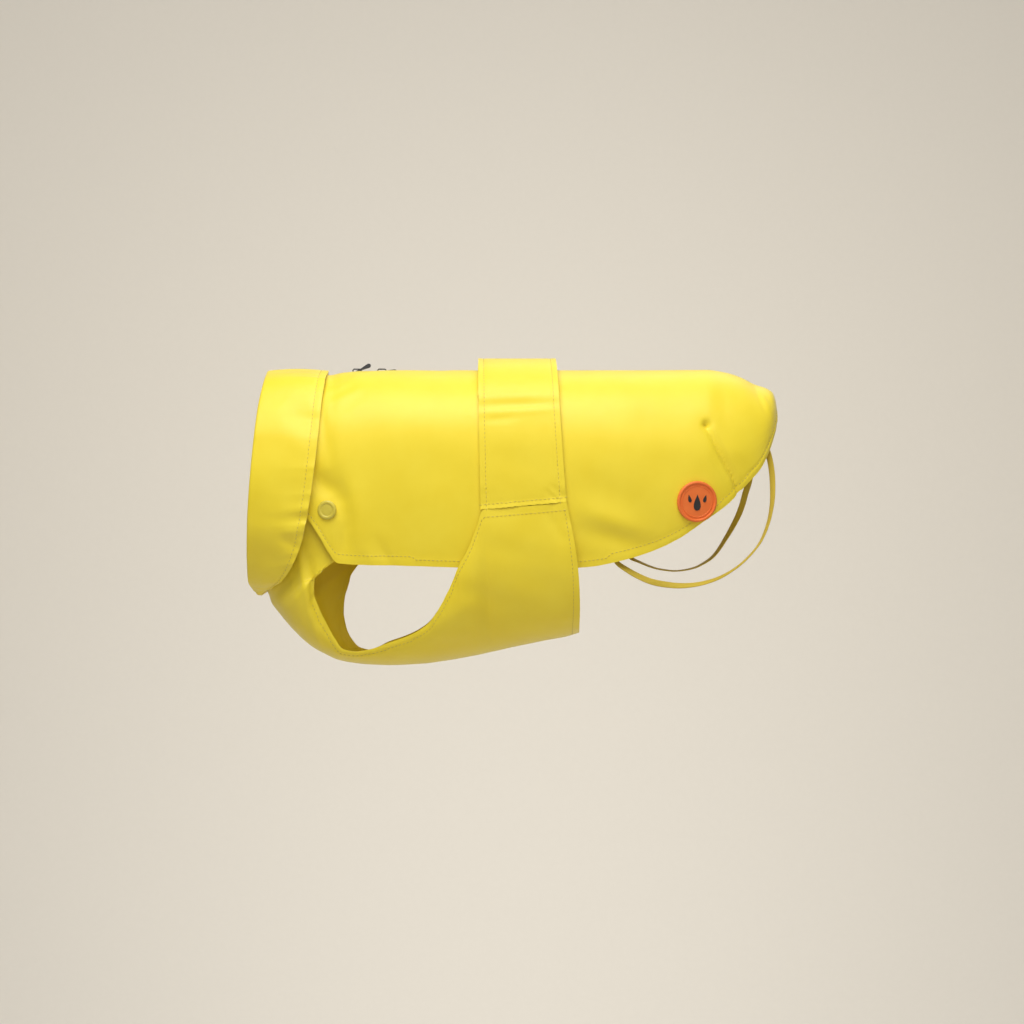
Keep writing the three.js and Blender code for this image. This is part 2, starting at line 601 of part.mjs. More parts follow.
// Rings of points round the badge's centre, lying on the back panel and moved out by rise.
function badgeRings(radii, rise) {
  const centre = onBack(BADGE.x, BADGE.z, -1, 0);
  const across = new THREE.Vector3(0, 0, 1).cross(centre.normal).normalize();
  const up = centre.normal.clone().cross(across);
  return radii.map((radius) => spread(0, 2 * Math.PI, BADGE_SIDES).slice(0, -1).map((angle) => {
    const flat = centre.point.clone().addScaledVector(across, radius * Math.cos(angle))
      .addScaledVector(up, radius * Math.sin(angle));
    return onBack(flat.x, flat.z, -1, rise).point;
  }));
}

// A closed disc or ring on the panel, between its lower and its upper rise.
function badgeSolid(inner, outerRadius, low, high) {
  const radii = inner > 0 ? [inner, outerRadius] : [0.05, outerRadius * 0.5, outerRadius];
  const [bottom, top] = [low, high].map((rise) => badgeRings(radii, rise));
  const loop = [...top, ...bottom.reverse()];
  const lines = loop[0].map((_, k) => loop.map((ring) => ring[k]));
  const joined = lines.map((line) => [...line, line[0]]);
  return tubeOfLines(joined);
}

// A closed ring-shaped solid whose profile loops are given one by one, all round.
function tubeOfLines(lines) {
  const [count, size] = [lines.length, lines[0].length - 1];
  const positions = lines.flatMap((line) => line.slice(0, -1)).flatMap((p) => [p.x, p.y, p.z]);
  const faces = [];
  const at = (i, j) => (i % count) * size + (j % size);
  for (let i = 0; i < count; i += 1) {
    for (let j = 0; j < size; j += 1) {
      faces.push(at(i, j), at(i + 1, j), at(i + 1, j + 1), at(i, j), at(i + 1, j + 1), at(i, j + 1));
    }
  }
  const geometry = new THREE.BufferGeometry();
  geometry.setAttribute('position', new THREE.Float32BufferAttribute(positions, 3));
  geometry.setIndex(faces);
  return facingOut(geometry);
}

// ---- hardware --------------------------------------------------------------
// A turned cap seated on the back panel: its base clears the highest cloth under it.
function addSnap(name, side) {
  const seat = onBack(SNAP.x, SNAP.z, side, 0);
  const across = new THREE.Vector3(0, 0, 1).cross(seat.normal).normalize();
  const up = seat.normal.clone().cross(across);
  let highest = 0;
  for (const angle of spread(0, 2 * Math.PI, 12)) {
    const rimPoint = seat.point.clone().addScaledVector(across, SNAP.radius * Math.cos(angle))
      .addScaledVector(up, SNAP.radius * Math.sin(angle));
    const cloth = onBack(rimPoint.x, rimPoint.z, side, 0).point;
    highest = Math.max(highest, cloth.sub(seat.point).dot(seat.normal));
  }
  const [r, h] = [SNAP.radius, SNAP.height];
  const profile = [[0, 0], [r, 0], [r, h * 0.45], [r * 0.9, h * 0.9], [r * 0.72, h],
    [r * 0.62, h * 0.78], [0, h * 0.84]].map(([x, y]) => new THREE.Vector2(x, y));
  const mesh = add(name, new THREE.LatheGeometry(profile, 20), COLOURS.cap, 0.45);
  mesh.quaternion.setFromUnitVectors(new THREE.Vector3(0, 1, 0), seat.normal);
  mesh.position.copy(seat.point).addScaledVector(seat.normal, highest + SEAM_GAP);
}

// Strips under and in the slot of the zip, made from the panel's own section, moved in.
function zipStrip(name, front, back, halves, topDrop, wall, color) {
  const places = backStations().filter((place) => {
    const x = backRow(place).spineX;
    return x > front && x < back;
  });
  const outer = places.map((place) => {
    const { whole } = alongPolyline(backSection(backRow(place)), 1);
    return halves.map((y) => backFace(place, y / whole, -topDrop).point);
  });
  const normals = gridNormals(outer, false, () => new THREE.Vector3(0, 0, 1));
  add(name, wallFromGrid(outer, pushed(outer, normals, -wall)), color, 0.7);
}

const extrudeAcross = (shape, width) => {
  const geometry = new THREE.ExtrudeGeometry(shape, { depth: width, bevelEnabled: false });
  geometry.rotateX(Math.PI / 2);
  geometry.translate(0, width / 2, 0);
  return geometry;
};

// A slider's plate and arch in one side outline, the arch narrower than the plate.
function addSlider(name, x, teethTop) {
  const { length, width, plate, archHalf, archLeg, archWidth, archTop, archBar } = SLIDER;
  const bottom = teethTop + SEAM_GAP;
  const top = bottom + plate;
  const outline = new THREE.Shape();
  outline.moveTo(-length / 2, bottom + 0.3);
  outline.lineTo(-length / 2 + 0.5, bottom);
  outline.lineTo(length / 2 - 0.5, bottom);
  outline.lineTo(length / 2, bottom + 0.3);
  outline.lineTo(length / 2, top - 0.2);
  outline.lineTo(length / 2 - 0.4, top);
  outline.lineTo(-length / 2 + 0.4, top);
  outline.lineTo(-length / 2, top - 0.2);
  const arch = new THREE.Shape();
  arch.moveTo(-archHalf, top);
  arch.lineTo(-archHalf, archTop - 1);
  arch.lineTo(-archHalf + 1, archTop);
  arch.lineTo(archHalf - 1, archTop);
  arch.lineTo(archHalf, archTop - 1);
  arch.lineTo(archHalf, top);
  arch.lineTo(archHalf - archLeg, top);
  arch.lineTo(archHalf - archLeg, archTop - archBar - 0.3);
  arch.lineTo(archHalf - archLeg - 0.3, archTop - archBar);
  arch.lineTo(-archHalf + archLeg + 0.3, archTop - archBar);
  arch.lineTo(-archHalf + archLeg, archTop - archBar - 0.3);
  arch.lineTo(-archHalf + archLeg, top);
  const body = joinSolids(extrudeAcross(outline, width), sinkInto(extrudeAcross(arch, archWidth), top));
  const mesh = add(name, body, COLOURS.black, 0.35, 0.4);
  mesh.position.x = x;
}

// The arch's feet reach 0.2 mm into the plate, so that the two join into one body.
function sinkInto(geometry, top) {
  const position = geometry.attributes.position;
  for (let k = 0; k < position.count; k += 1) {
    if (Math.abs(position.getZ(k) - top) < 1e-4) position.setZ(k, top - 0.2);
  }
  return geometry;
}

// A pull tab on its pin: two arms beside the arch, then a plate that thickens to its tip.
function tabGeometry() {
  const { length, width, armInner, eye, pinRadius, rootThick, tipThick } = TAB;
  const side = new THREE.Shape();
  const root = rootThick / 2;
  side.moveTo(-root, -root * 0.5);
  side.lineTo(-root, root * 0.5);
  side.lineTo(-root * 0.5, root);
  side.lineTo(eye - 1, root + 0.1);
  side.lineTo(length - 2.2, tipThick / 2);
  side.absarc(length - tipThick / 2, 0, tipThick / 2, Math.PI / 2 - 0.25, -Math.PI / 2 + 0.25, true);
  side.lineTo(length - 2.2, -tipThick / 2);
  side.lineTo(eye - 1, -root - 0.1);
  side.lineTo(-root * 0.5, -root);
  const window = new THREE.Shape();
  window.moveTo(pinRadius, -armInner);
  window.lineTo(eye, -armInner);
  window.lineTo(eye, armInner);
  window.lineTo(pinRadius, armInner);
  const cutter = new THREE.ExtrudeGeometry(window, { depth: 6, bevelEnabled: false });
  cutter.translate(0, 0, -3);
  const behind = new THREE.Shape();
  behind.moveTo(-3, -armInner);
  behind.lineTo(-pinRadius, -armInner);
  behind.lineTo(-pinRadius, armInner);
  behind.lineTo(-3, armInner);
  const back = new THREE.ExtrudeGeometry(behind, { depth: 6, bevelEnabled: false });
  back.translate(0, 0, -3);
  return cutSolids(extrudeAcross(side, width), cutter, back);
}

function addTab(name, x, lean) {
  const mesh = add(name, tabGeometry(), COLOURS.black, 0.3);
  mesh.position.set(x, 0, TAB.pinZ);
  mesh.rotation.y = THREE.MathUtils.degToRad(-lean);
}

// ---- joining and cutting ---------------------------------------------------
const { default: loadManifold } = await import('manifold-3d');
const { mergeVertices } = await import('three/addons/utils/BufferGeometryUtils.js');
const wasm = await loadManifold();
wasm.setup();

function toSolid(geometry) {
  const bare = geometry.clone();
  bare.deleteAttribute('normal');
  bare.deleteAttribute('uv');
  const merged = mergeVertices(bare, 1e-4);
  return new wasm.Manifold(new wasm.Mesh({
    numProp: 3,
    vertProperties: new Float32Array(merged.attributes.position.array),
    triVerts: new Uint32Array(merged.index.array),
  }));
}

function toGeometry(solid) {
  const mesh = solid.getMesh();
  const geometry = new THREE.BufferGeometry();
  geometry.setAttribute('position', new THREE.Float32BufferAttribute(mesh.vertProperties, 3));
  geometry.setIndex([...mesh.triVerts]);
  return geometry;
}

function joinSolids(first, ...others) {
  return toGeometry(others.reduce((sum, other) => sum.add(toSolid(other)), toSolid(first)));
}

function cutSolids(first, ...others) {
  return toGeometry(others.reduce((sum, other) => sum.subtract(toSolid(other)), toSolid(first)));
}

// ---- leg elastics ----------------------------------------------------------
function addElastic(name, route) {
  const path = new THREE.CatmullRomCurve3(route.map((p) => new THREE.Vector3(...p)));
  const section = new THREE.Shape();
  const sides = 8;
  for (let k = 0; k < sides; k += 1) {
    const angle = (2 * Math.PI * k) / sides;
    const [x, y] = [0.5 * ELASTIC_WIDTH * Math.cos(angle), 0.5 * ELASTIC_WIDTH * Math.sin(angle)];
    if (k === 0) section.moveTo(x, y);
    else section.lineTo(x, y);
  }
  section.closePath();
  const steps = Math.round(path.getLength() / (2.2 * ELASTIC_WIDTH));
  const geometry = new THREE.ExtrudeGeometry(section, { extrudePath: path, steps, bevelEnabled: false });
  add(name, geometry, COLOURS.elastic, 0.75);
}

// ---- assembly --------------------------------------------------------------
const zipTop = CLOTH + 2 * SEAM_GAP;                    // tape's face below the panel's outer face
const teethTopDrop = zipTop - SEAM_GAP - ZIP.teethHeight;
const teethTop = BACK_ROWS[6].spineZ - teethTopDrop
  - ZIP.valleyDepth * Math.exp(-((ZIP.teethHalf / ZIP.valleyWidth) ** 2));

buildBackPanel();
buildUnderPanel();
buildCollar();
buildStrap('belly_strap_near', -1, STRAP_TOP_RISE, STRAP_TOP_FAR_END);
buildStrap('belly_strap_far', 1, STRAP_UNDER_RISE, STRAP_UNDER_NEAR_END);
add('rubber_badge',
  badgeSolid(0, BADGE.radius - BADGE.rimWidth - SEAM_GAP, SEAM_GAP, SEAM_GAP + BADGE.wall),
  COLOURS.rubber, 0.6);
add('rubber_badge_rim',
  badgeSolid(BADGE.radius - BADGE.rimWidth, BADGE.radius, SEAM_GAP, SEAM_GAP + BADGE.rimHeight),
  COLOURS.rim, 0.6);
addSnap('snap_cap_near', -1);
addSnap('snap_cap_far', 1);
zipStrip('zip_tape', ZIP.tapeFront, ZIP.tapeBack,
  mirrored([ZIP.teethHalf, ZIP.slotHalf, ZIP.tapeHalf]), zipTop, ZIP.tapeWall, COLOURS.tape);
zipStrip('zip_teeth', ZIP.slotFront + 1, ZIP.slotBack - 1, mirrored([ZIP.teethHalf]), teethTopDrop,
  ZIP.teethHeight, COLOURS.tape);
addSlider('zip_slider_front', SLIDER.frontX, teethTop);
addSlider('zip_slider_back', SLIDER.backX, teethTop);
addTab('pull_tab_front', SLIDER.frontX, TAB.frontLean);
addTab('pull_tab_back', SLIDER.backX, TAB.backLean);
addElastic('leg_elastic_near', ELASTIC_ROUTES.near);
addElastic('leg_elastic_far', ELASTIC_ROUTES.far);

export default group;
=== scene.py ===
"""A small dog's yellow rain vest, filled out as it is when worn."""
import math

import bmesh
import bpy
import numpy as np
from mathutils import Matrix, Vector


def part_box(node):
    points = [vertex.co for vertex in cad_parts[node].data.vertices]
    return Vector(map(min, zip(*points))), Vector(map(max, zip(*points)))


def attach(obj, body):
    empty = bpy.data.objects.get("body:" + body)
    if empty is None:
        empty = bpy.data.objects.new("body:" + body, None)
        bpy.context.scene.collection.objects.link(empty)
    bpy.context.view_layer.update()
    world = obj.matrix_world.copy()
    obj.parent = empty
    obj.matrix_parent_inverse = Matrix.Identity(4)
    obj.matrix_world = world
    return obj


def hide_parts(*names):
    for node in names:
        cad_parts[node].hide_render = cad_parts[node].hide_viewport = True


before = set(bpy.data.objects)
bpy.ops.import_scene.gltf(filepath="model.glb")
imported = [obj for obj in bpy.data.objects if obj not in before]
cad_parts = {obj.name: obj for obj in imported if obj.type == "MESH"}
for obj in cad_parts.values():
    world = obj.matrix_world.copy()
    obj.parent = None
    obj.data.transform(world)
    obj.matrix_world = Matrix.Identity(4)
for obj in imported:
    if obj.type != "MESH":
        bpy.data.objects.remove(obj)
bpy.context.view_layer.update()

MM = 0.001
NEAR, FAR = -1, 1
VEST = "vest"

# ---- camera, light and backdrop ---------------------------------------------
CAMERA_DISTANCE = 4.5
FRAME_WIDTH = 0.7168
SENSOR = 36.0
VIEW_CENTRE = Vector((0.0084, 0.0, -0.0982))


def make_camera():
    data = bpy.data.cameras.new("camera")
    data.sensor_width = SENSOR
    data.lens = SENSOR * CAMERA_DISTANCE / FRAME_WIDTH
    data.clip_end = 50
    camera = bpy.data.objects.new("camera", data)
    bpy.context.scene.collection.objects.link(camera)
    camera.location = VIEW_CENTRE + Vector((0, -CAMERA_DISTANCE, 0))
    camera.rotation_euler = (math.radians(90), 0, 0)
    bpy.context.scene.camera = camera


make_camera()


def area_light(name, place, target, size, power, colour=(1, 1, 1)):
    data = bpy.data.lights.new(name, "AREA")
    data.shape = "DISK"
    data.size = size
    data.energy = power
    data.color = colour
    light = bpy.data.objects.new(name, data)
    light.location = place
    light.rotation_euler = (Vector(target) - Vector(place)).to_track_quat("-Z", "Y").to_euler()
    bpy.context.scene.collection.objects.link(light)


def make_lights():
    middle = (0.0, 0.0, -0.09)
    area_light("key_above", (-0.2, -1.0, 1.7), middle, 1.6, 48, (1.0, 0.99, 0.97))
    area_light("fill_front", (0.4, -2.6, 0.5), middle, 1.8, 9, (1.0, 0.99, 0.98))
    area_light("back_above", (0.5, 1.3, 1.6), middle, 1.4, 9, (1.0, 0.98, 0.95))
    area_light("wall_glow", (0.0, 1.5, -0.1), (0.0, 2.6, -0.1), 0.4, 4.5, (1.0, 0.98, 0.94))
    world = bpy.data.worlds.new("studio")
    world.use_nodes = True
    background = world.node_tree.nodes["Background"]
    background.inputs["Color"].default_value = (0.86, 0.83, 0.78, 1)
    background.inputs["Strength"].default_value = 0.3
    bpy.context.scene.world = world
    bpy.context.scene.view_settings.view_transform = "Standard"


make_lights()

# ---- tables of the garment's form, in millimetres ----------------------------
BACK_COLUMNS = ("spine_x", "spine_z", "hem_x", "hem_z", "hem_y", "wide_y", "wide_at", "round")
BACK_ROWS = (
    (-147.0, -2.2, -142.8, -95.0, 52.3, 52.6, 0.80, 2.4),
    (-137.2, -2.2, -133.0, -103.1, 53.8, 54.6, 0.78, 2.4),
    (-126.0, -2.8, -124.0, -116.4, 55.2, 56.8, 0.74, 2.4),
    (-117.6, -2.3, -118.3, -126.2, 55.4, 58.2, 0.68, 2.5),
    (-109.0, 0.2, -112.0, -133.6, 55.6, 59.6, 0.62, 2.5),
    (-97.0, 1.2, -99.4, -134.6, 56.8, 61.2, 0.58, 2.5),
    (-70.0, 1.2, -70.0, -135.3, 59.6, 64.6, 0.55, 2.5),
    (-21.0, 1.2, -21.0, -136.7, 62.6, 67.6, 0.55, 2.5),
    (14.0, 1.2, 14.0, -137.4, 62.4, 68.4, 0.55, 2.5),
    (42.0, 1.2, 42.0, -137.4, 61.6, 68.4, 0.55, 2.5),
    (63.0, 1.2, 63.0, -136.0, 61.8, 68.2, 0.56, 2.5),
    (82.0, 1.2, 81.2, -132.5, 62.2, 67.6, 0.57, 2.5),
    (104.0, 1.2, 101.5, -126.9, 60.6, 65.6, 0.60, 2.4),
    (126.0, 1.2, 123.2, -117.1, 58.2, 62.4, 0.66, 2.3),
    (143.5, 1.2, 142.8, -103.8, 55.0, 58.2, 0.72, 2.3),
    (157.0, -0.9, 158.9, -91.9, 50.4, 52.8, 0.78, 2.2),
    (168.0, -4.4, 171.5, -78.6, 45.2, 46.6, 0.84, 2.2),
    (177.8, -9.3, 180.6, -68.1, 39.4, 40.2, 0.88, 2.2),
    (186.0, -12.0, 186.4, -56.9, 32.8, 33.4, 0.90, 2.2),
    (190.4, -15.0, 190.4, -45.7, 25.4, 25.9, 0.90, 2.2),
    (192.4, -20.5, 192.5, -36.6, 18.0, 18.4, 0.90, 2.2),
    (193.2, -25.4, 193.2, -31.0, 12.0, 12.3, 0.90, 2.2),
)
UNDER_COLUMNS = ("mid_x", "mid_z", "edge_x", "edge_z", "edge_y", "round", "far_back", "bow")
UNDER_ROWS = (
    (-171.5, -138.8, -146.0, -78.6, 48.0, 2.0, 0, 0),
    (-168.7, -145.8, -129.0, -83.5, 51.0, 1.95, 4, 0),
    (-164.8, -149.8, -113.0, -96.8, 51.4, 1.9, 12, 0),
    (-161.6, -156.0, -108.5, -114.3, 51.0, 1.9, 14, 0),
    (-159.6, -161.9, -111.3, -129.0, 50.0, 2.0, 16, 0),
    (-156.1, -166.8, -121.8, -137.4, 48.4, 2.2, 20, 0),
    (-151.2, -172.8, -128.1, -145.1, 46.4, 2.4, 22, 0),
    (-144.9, -180.1, -128.5, -154.2, 43.6, 2.5, 20, 0),
    (-137.9, -187.1, -125.3, -164.7, 40.6, 2.4, 15, 0),
    (-130.2, -193.1, -120.4, -175.2, 37.6, 2.3, 11, 0),
    (-121.8, -197.6, -114.8, -185.7, 34.6, 2.2, 9, 0),
    (-114.1, -201.1, -108.5, -193.8, 32.4, 2.1, 10, 0),
    (-105.0, -203.2, -100.1, -195.2, 31.6, 2.0, 8, 0),
    (-92.4, -204.7, -89.6, -193.4, 33.0, 2.0, 3, 0),
    (-77.0, -205.3, -77.0, -188.9, 36.6, 2.0, 0, 0),
    (-64.4, -204.8, -65.1, -184.7, 40.6, 2.0, 0, 0),
    (-51.8, -203.9, -54.6, -179.4, 45.6, 2.0, 0, 0),
    (-40.6, -202.5, -44.8, -169.6, 52.6, 2.0, 0, 0),
    (-30.8, -201.1, -36.4, -154.2, 60.4, 2.1, 0, 0),
    (-22.4, -199.6, -28.7, -136.7, 65.8, 2.2, 0, 0),
    (-14.0, -198.0, -21.0, -121.3, 69.0, 2.3, 0, 0),
    (-7.0, -196.4, -15.4, -106.6, 69.6, 2.3, 0, 0),
    (-1.4, -195.2, -11.6, -96.8, 69.8, 2.4, 0, 0),
    (7.0, -193.3, -1.4, -95.8, 70.0, 2.5, 0, 0.5),
    (19.6, -190.6, 14.0, -94.5, 70.2, 2.6, 0, 1.0),
    (33.6, -187.7, 30.1, -93.2, 70.2, 2.7, 0, 2.0),
    (46.9, -185.0, 42.0, -92.0, 70.2, 2.8, 0, 3.0),
    (55.3, -182.6, 45.9, -91.6, 70.2, 2.8, 0, 3.4),
)
COLLAR_COLUMNS = ("fold_x", "fold_z", "fold_y", "edge_x", "edge_z", "edge_y",
                  "seam_x", "seam_z", "seam_y")
COLLAR_ROWS = (
    (-163.3, 0.7, 0.0, -119.9, 0.8, 0.0, -147.8, -3.6, 0.0),
    (-164.6, -5.0, 21.0, -121.4, -5.6, 31.5, -147.8, -8.4, 24.0),
    (-168.0, -22.0, 38.0, -123.7, -22.6, 46.5, -147.6, -24.0, 40.0),
    (-171.0, -46.9, 49.2, -126.0, -47.8, 57.0, -147.4, -48.0, 48.4),
    (-173.7, -76.2, 53.0, -129.2, -75.8, 61.5, -147.6, -75.0, 50.6),
    (-175.6, -105.6, 49.2, -133.8, -103.8, 60.0, -158.6, -104.0, 43.5),
    (-176.2, -130.4, 38.0, -139.7, -126.2, 53.5, -167.8, -124.0, 29.5),
    (-176.0, -147.0, 21.0, -150.5, -145.3, 38.5, -172.0, -134.5, 14.5),
    (-173.6, -153.2, 0.0, -166.3, -156.2, 0.0, -173.6, -138.6, 0.0),
)
CLOTH, TAPE_CLOTH = 1.0, 0.7
HALF_GIRTH = 190.0
FOLD_RADIUS, FOLD_BULGE = 1.9, 1.2
BACK_HEM, UNDER_HEM, COLLAR_HEM, STRAP_HEM = 5.5, 4.5, 5.0, 4.0
THREAD_RISE = 0.1
ZIP_FRONT, ZIP_BACK, ZIP_HALF = -106.0, -42.0, 3.5
VALLEY_DEPTH, VALLEY_WIDTH = 3.0, 7.0

# Elastics' routes, from the hem down and back up to the hem nearer the tail.
ELASTICS = {
    "leg_elastic_near": (
        (78.0, -58.2, -127.0), (81.2, -57.4, -133.4), (88.9, -56.8, -138.8),
        (97.0, -56.0, -143.2), (105.0, -55.0, -146.4), (115.0, -53.8, -148.4),
        (125.8, -52.4, -149.2), (138.0, -50.6, -148.0), (150.4, -48.6, -144.4),
        (160.5, -46.6, -139.0), (168.3, -44.6, -133.2), (176.0, -42.0, -125.4),
        (181.8, -39.8, -117.0), (186.4, -37.2, -105.4), (188.8, -34.8, -94.0),
        (189.5, -32.8, -84.8), (189.2, -30.2, -71.6), (187.2, -28.8, -59.6),
        (184.4, -28.0, -52.0)),
    "leg_elastic_far": (
        (89.0, 58.6, -124.0), (92.4, 57.8, -130.4), (98.6, 56.0, -133.6),
        (108.0, 55.2, -137.4), (116.0, 54.4, -139.2), (124.6, 53.4, -139.9),
        (134.0, 52.0, -138.6), (141.6, 50.6, -135.8), (151.4, 48.4, -128.8),
        (160.4, 46.0, -115.4), (167.2, 43.8, -103.0), (170.8, 42.2, -94.0),
        (173.2, 40.2, -85.2), (176.0, 38.4, -75.6), (177.0, 37.4, -66.0)),
}


# ---- smooth curves through tables ---------------------------------------------
def monotone(places, values, at):
    """Values at places, passed through smoothly and without overshoot."""
    steps = np.diff(values) / np.diff(places)
    slopes = np.zeros(len(values))
    slopes[0], slopes[-1] = steps[0], steps[-1]
    product = steps[:-1] * steps[1:]
    total = steps[:-1] + steps[1:]
    slopes[1:-1] = np.where(product > 0, 2 * product / np.where(total == 0, 1, total), 0)
    k = np.clip(np.searchsorted(places, at, side="right") - 1, 0, len(places) - 2)
    span = places[k + 1] - places[k]
    t = np.clip((at - places[k]) / span, 0, 1)
    return (values[k] * (2 * t**3 - 3 * t**2 + 1) + values[k + 1] * (3 * t**2 - 2 * t**3)
            + span * (slopes[k] * (t**3 - 2 * t**2 + t) + slopes[k + 1] * (t**3 - t**2)))


class Rows:
    """A table of rows, interpolated smoothly along the piece."""

    def __init__(self, columns, rows, ends=None):
        self.columns = columns
        self.values = np.array(rows, float)
        if ends is None:
            self.places = np.linspace(0, 1, len(rows))
        else:
            moved = [np.hypot(*(np.diff(self.values[:, columns.index(name + axis)])
                                for axis in ("_x", "_z"))) for name in ends]
            self.places = np.concatenate([[0], np.cumsum((moved[0] + moved[1]) / 2)])
        self.length = self.places[-1]

    def at(self, place):
        place = np.asarray(place, float)
        return {name: monotone(self.places, self.values[:, k], place)
                for k, name in enumerate(self.columns)}


def half_section(drop, wide_y, wide_at, edge_y, power, steps=60):
    """Points (down, wide) from the middle line to the edge of a rounded half section."""
    wide_drop = drop * min(wide_at, 1)
    angle = np.linspace(0, math.pi / 2, steps)
    down = wide_drop * (1 - np.cos(angle).clip(0, 1) ** (2 / power))
    wide = wide_y * np.sin(angle) ** (2 / power)
    if wide_at < 1:
        reach = (drop - wide_drop) / math.sqrt(1 - (edge_y / wide_y) ** 2)
        more = np.linspace(wide_drop, drop, steps // 2)[1:]
        down = np.concatenate([down, more])
        wide = np.concatenate([wide, wide_y * np.sqrt(1 - ((more - wide_drop) / reach) ** 2)])
    return down, wide


def even(down, wide, fractions):
    """The section's points at fractions of its length, and that length."""
    length = np.concatenate([[0], np.cumsum(np.hypot(np.diff(down), np.diff(wide)))])
    wanted = fractions * length[-1]
    return np.interp(wanted, length, down), np.interp(wanted, length, wide), length[-1]


def smooth_step(x, low, high):
    t = np.clip((x - low) / (high - low), 0, 1)
    return t * t * (3 - 2 * t)


def wobble(x, seed, pitch):
    """Smooth random values from -1 to 1 along x, one new value for each pitch."""
    k = np.floor(x / pitch)
    t = x / pitch - k
    t = t * t * (3 - 2 * t)

    def value(n):
        return 2 * np.modf(np.abs(np.sin(n * 127.1 + seed * 311.7) * 43758.5453))[0] - 1
    return value(k) * (1 - t) + value(k + 1) * t


def near_line(x, z, x1, z1, x2, z2):
    """Distance to a line, and how far along it from 0 to 1."""
    dx, dz = x2 - x1, z2 - z1
    t = np.clip(((x - x1) * dx + (z - z1) * dz) / (dx * dx + dz * dz), 0, 1)
    return np.hypot(x - x1 - t * dx, z - z1 - t * dz), t


def folds(x, z, rows):
    """Sum of soft troughs (positive) and ridges (negative), each fading at its ends."""
    total = np.zeros_like(x)
    for x1, z1, x2, z2, depth, width in rows:
        distance, t = near_line(x, z, x1, z1, x2, z2)
        total += depth * np.exp(-(distance / width) ** 2) * (0.45 + 0.55 * np.sin(math.pi * t))
    return total


def puckers(along, inward, seed, depth, reach, pitch=8.0):
    """Small uneven gathers that run in from a stitched edge."""
    gather = wobble(along, seed, pitch) + 0.6 * wobble(along, seed + 3, pitch * 0.43)
    strength = 0.55 + 0.45 * wobble(along, seed + 7, pitch * 4)
    fade = np.exp(-np.abs(inward) / reach)
    return depth * gather * strength * fade


def stitch_groove(inward, hem, depth):
    """The shallow dip that a row of stitches pulls into the cloth."""
    return depth * np.exp(-((inward - hem) / 0.8) ** 2)


# ---- meshes --------------------------------------------------------------------
def grid_normals(grid, around=False):
    if around:
        wrapped = np.concatenate([grid[-1:], grid, grid[:1]])
        along = np.gradient(wrapped, axis=0)[1:-1]
    else:
        along = np.gradient(grid, axis=0)
    over = np.gradient(grid, axis=1)
    normal = np.cross(along, over)
    return normal / np.maximum(np.linalg.norm(normal, axis=2, keepdims=True), 1e-9)


def outward(grid, centre, around=False):
    """Normals that point away from a centre line on average."""
    normals = grid_normals(grid, around)
    side = np.sum(normals * (grid - np.array(centre)), axis=2)
    return -normals if np.median(side) < 0 else normals


def wall_mesh(name, outer, normals, wall, around=False, open_cells=None):
    """A closed cloth wall: outer and inner faces, and rims; inner faces have material 1."""
    rows, columns = outer.shape[:2]
    inner = outer - normals * wall
    points = np.concatenate([outer.reshape(-1, 3), inner.reshape(-1, 3)]) * MM
    last = rows if around else rows - 1
    solid = np.ones((last, columns - 1), bool)
    if open_cells is not None:
        solid &= ~open_cells
    layer = rows * columns

    def at(level, i, j):
        return level * layer + (i % rows) * columns + j
    faces, inside = [], []
    flip = np.sum(np.cross(outer[1, 0] - outer[0, 0], outer[0, 1] - outer[0, 0])
                  * normals[0, 0]) < 0

    def quad(a, b, c, d, index):
        faces.append((d, c, b, a) if flip else (a, b, c, d))
        inside.append(index)
    for i in range(last):
        for j in range(columns - 1):
            if not solid[i, j]:
                continue
            a, b, c, d = at(0, i, j), at(0, i + 1, j), at(0, i + 1, j + 1), at(0, i, j + 1)
            e, f, g, h = a + layer, b + layer, c + layer, d + layer
            quad(a, b, c, d, 0)
            quad(h, g, f, e, 1)
            if j == 0 or not solid[i, j - 1]:
                quad(b, a, e, f, 0)
            if j == columns - 2 or not solid[i, j + 1]:
                quad(d, c, g, h, 0)
            if (i == 0 and not around) or (i > 0 and not solid[i - 1, j]):
                quad(a, d, h, e, 0)
            if (i == last - 1 and not around) or (i < last - 1 and not solid[i + 1, j]):
                quad(c, b, f, g, 0)
    used = np.unique(np.array(faces))
    renamed = np.full(len(points), -1)
    renamed[used] = np.arange(len(used))
    mesh = bpy.data.meshes.new(name)
    mesh.from_pydata(points[used].tolist(), [], renamed[np.array(faces)].tolist())
    mesh.polygons.foreach_set("material_index", inside)
    mesh.polygons.foreach_set("use_smooth", [True] * len(faces))
    mesh.set_sharp_from_angle(angle=math.radians(55))
    return link(name, mesh)


def link(name, mesh):
    piece = bpy.data.objects.new(name, mesh)
    bpy.context.scene.collection.objects.link(piece)
    return piece


def closed_piece(name, points, faces, crease=None, mend=False):
    """A closed mesh from points in millimetres; mend joins its points and turns faces out."""
    mesh = bpy.data.meshes.new(name)
    mesh.from_pydata([tuple(np.array(p) * MM) for p in points], [], faces)
    if mend:
        mesh.validate()
        work = bmesh.new()
        work.from_mesh(mesh)
        bmesh.ops.remove_doubles(work, verts=work.verts, dist=1e-6)
        bmesh.ops.recalc_face_normals(work, faces=work.faces)
        work.to_mesh(mesh)
        work.free()
    if crease is not None:
        mesh.polygons.foreach_set("use_smooth", [True] * len(mesh.polygons))
        mesh.set_sharp_from_angle(angle=math.radians(crease))
    return link(name, mesh)


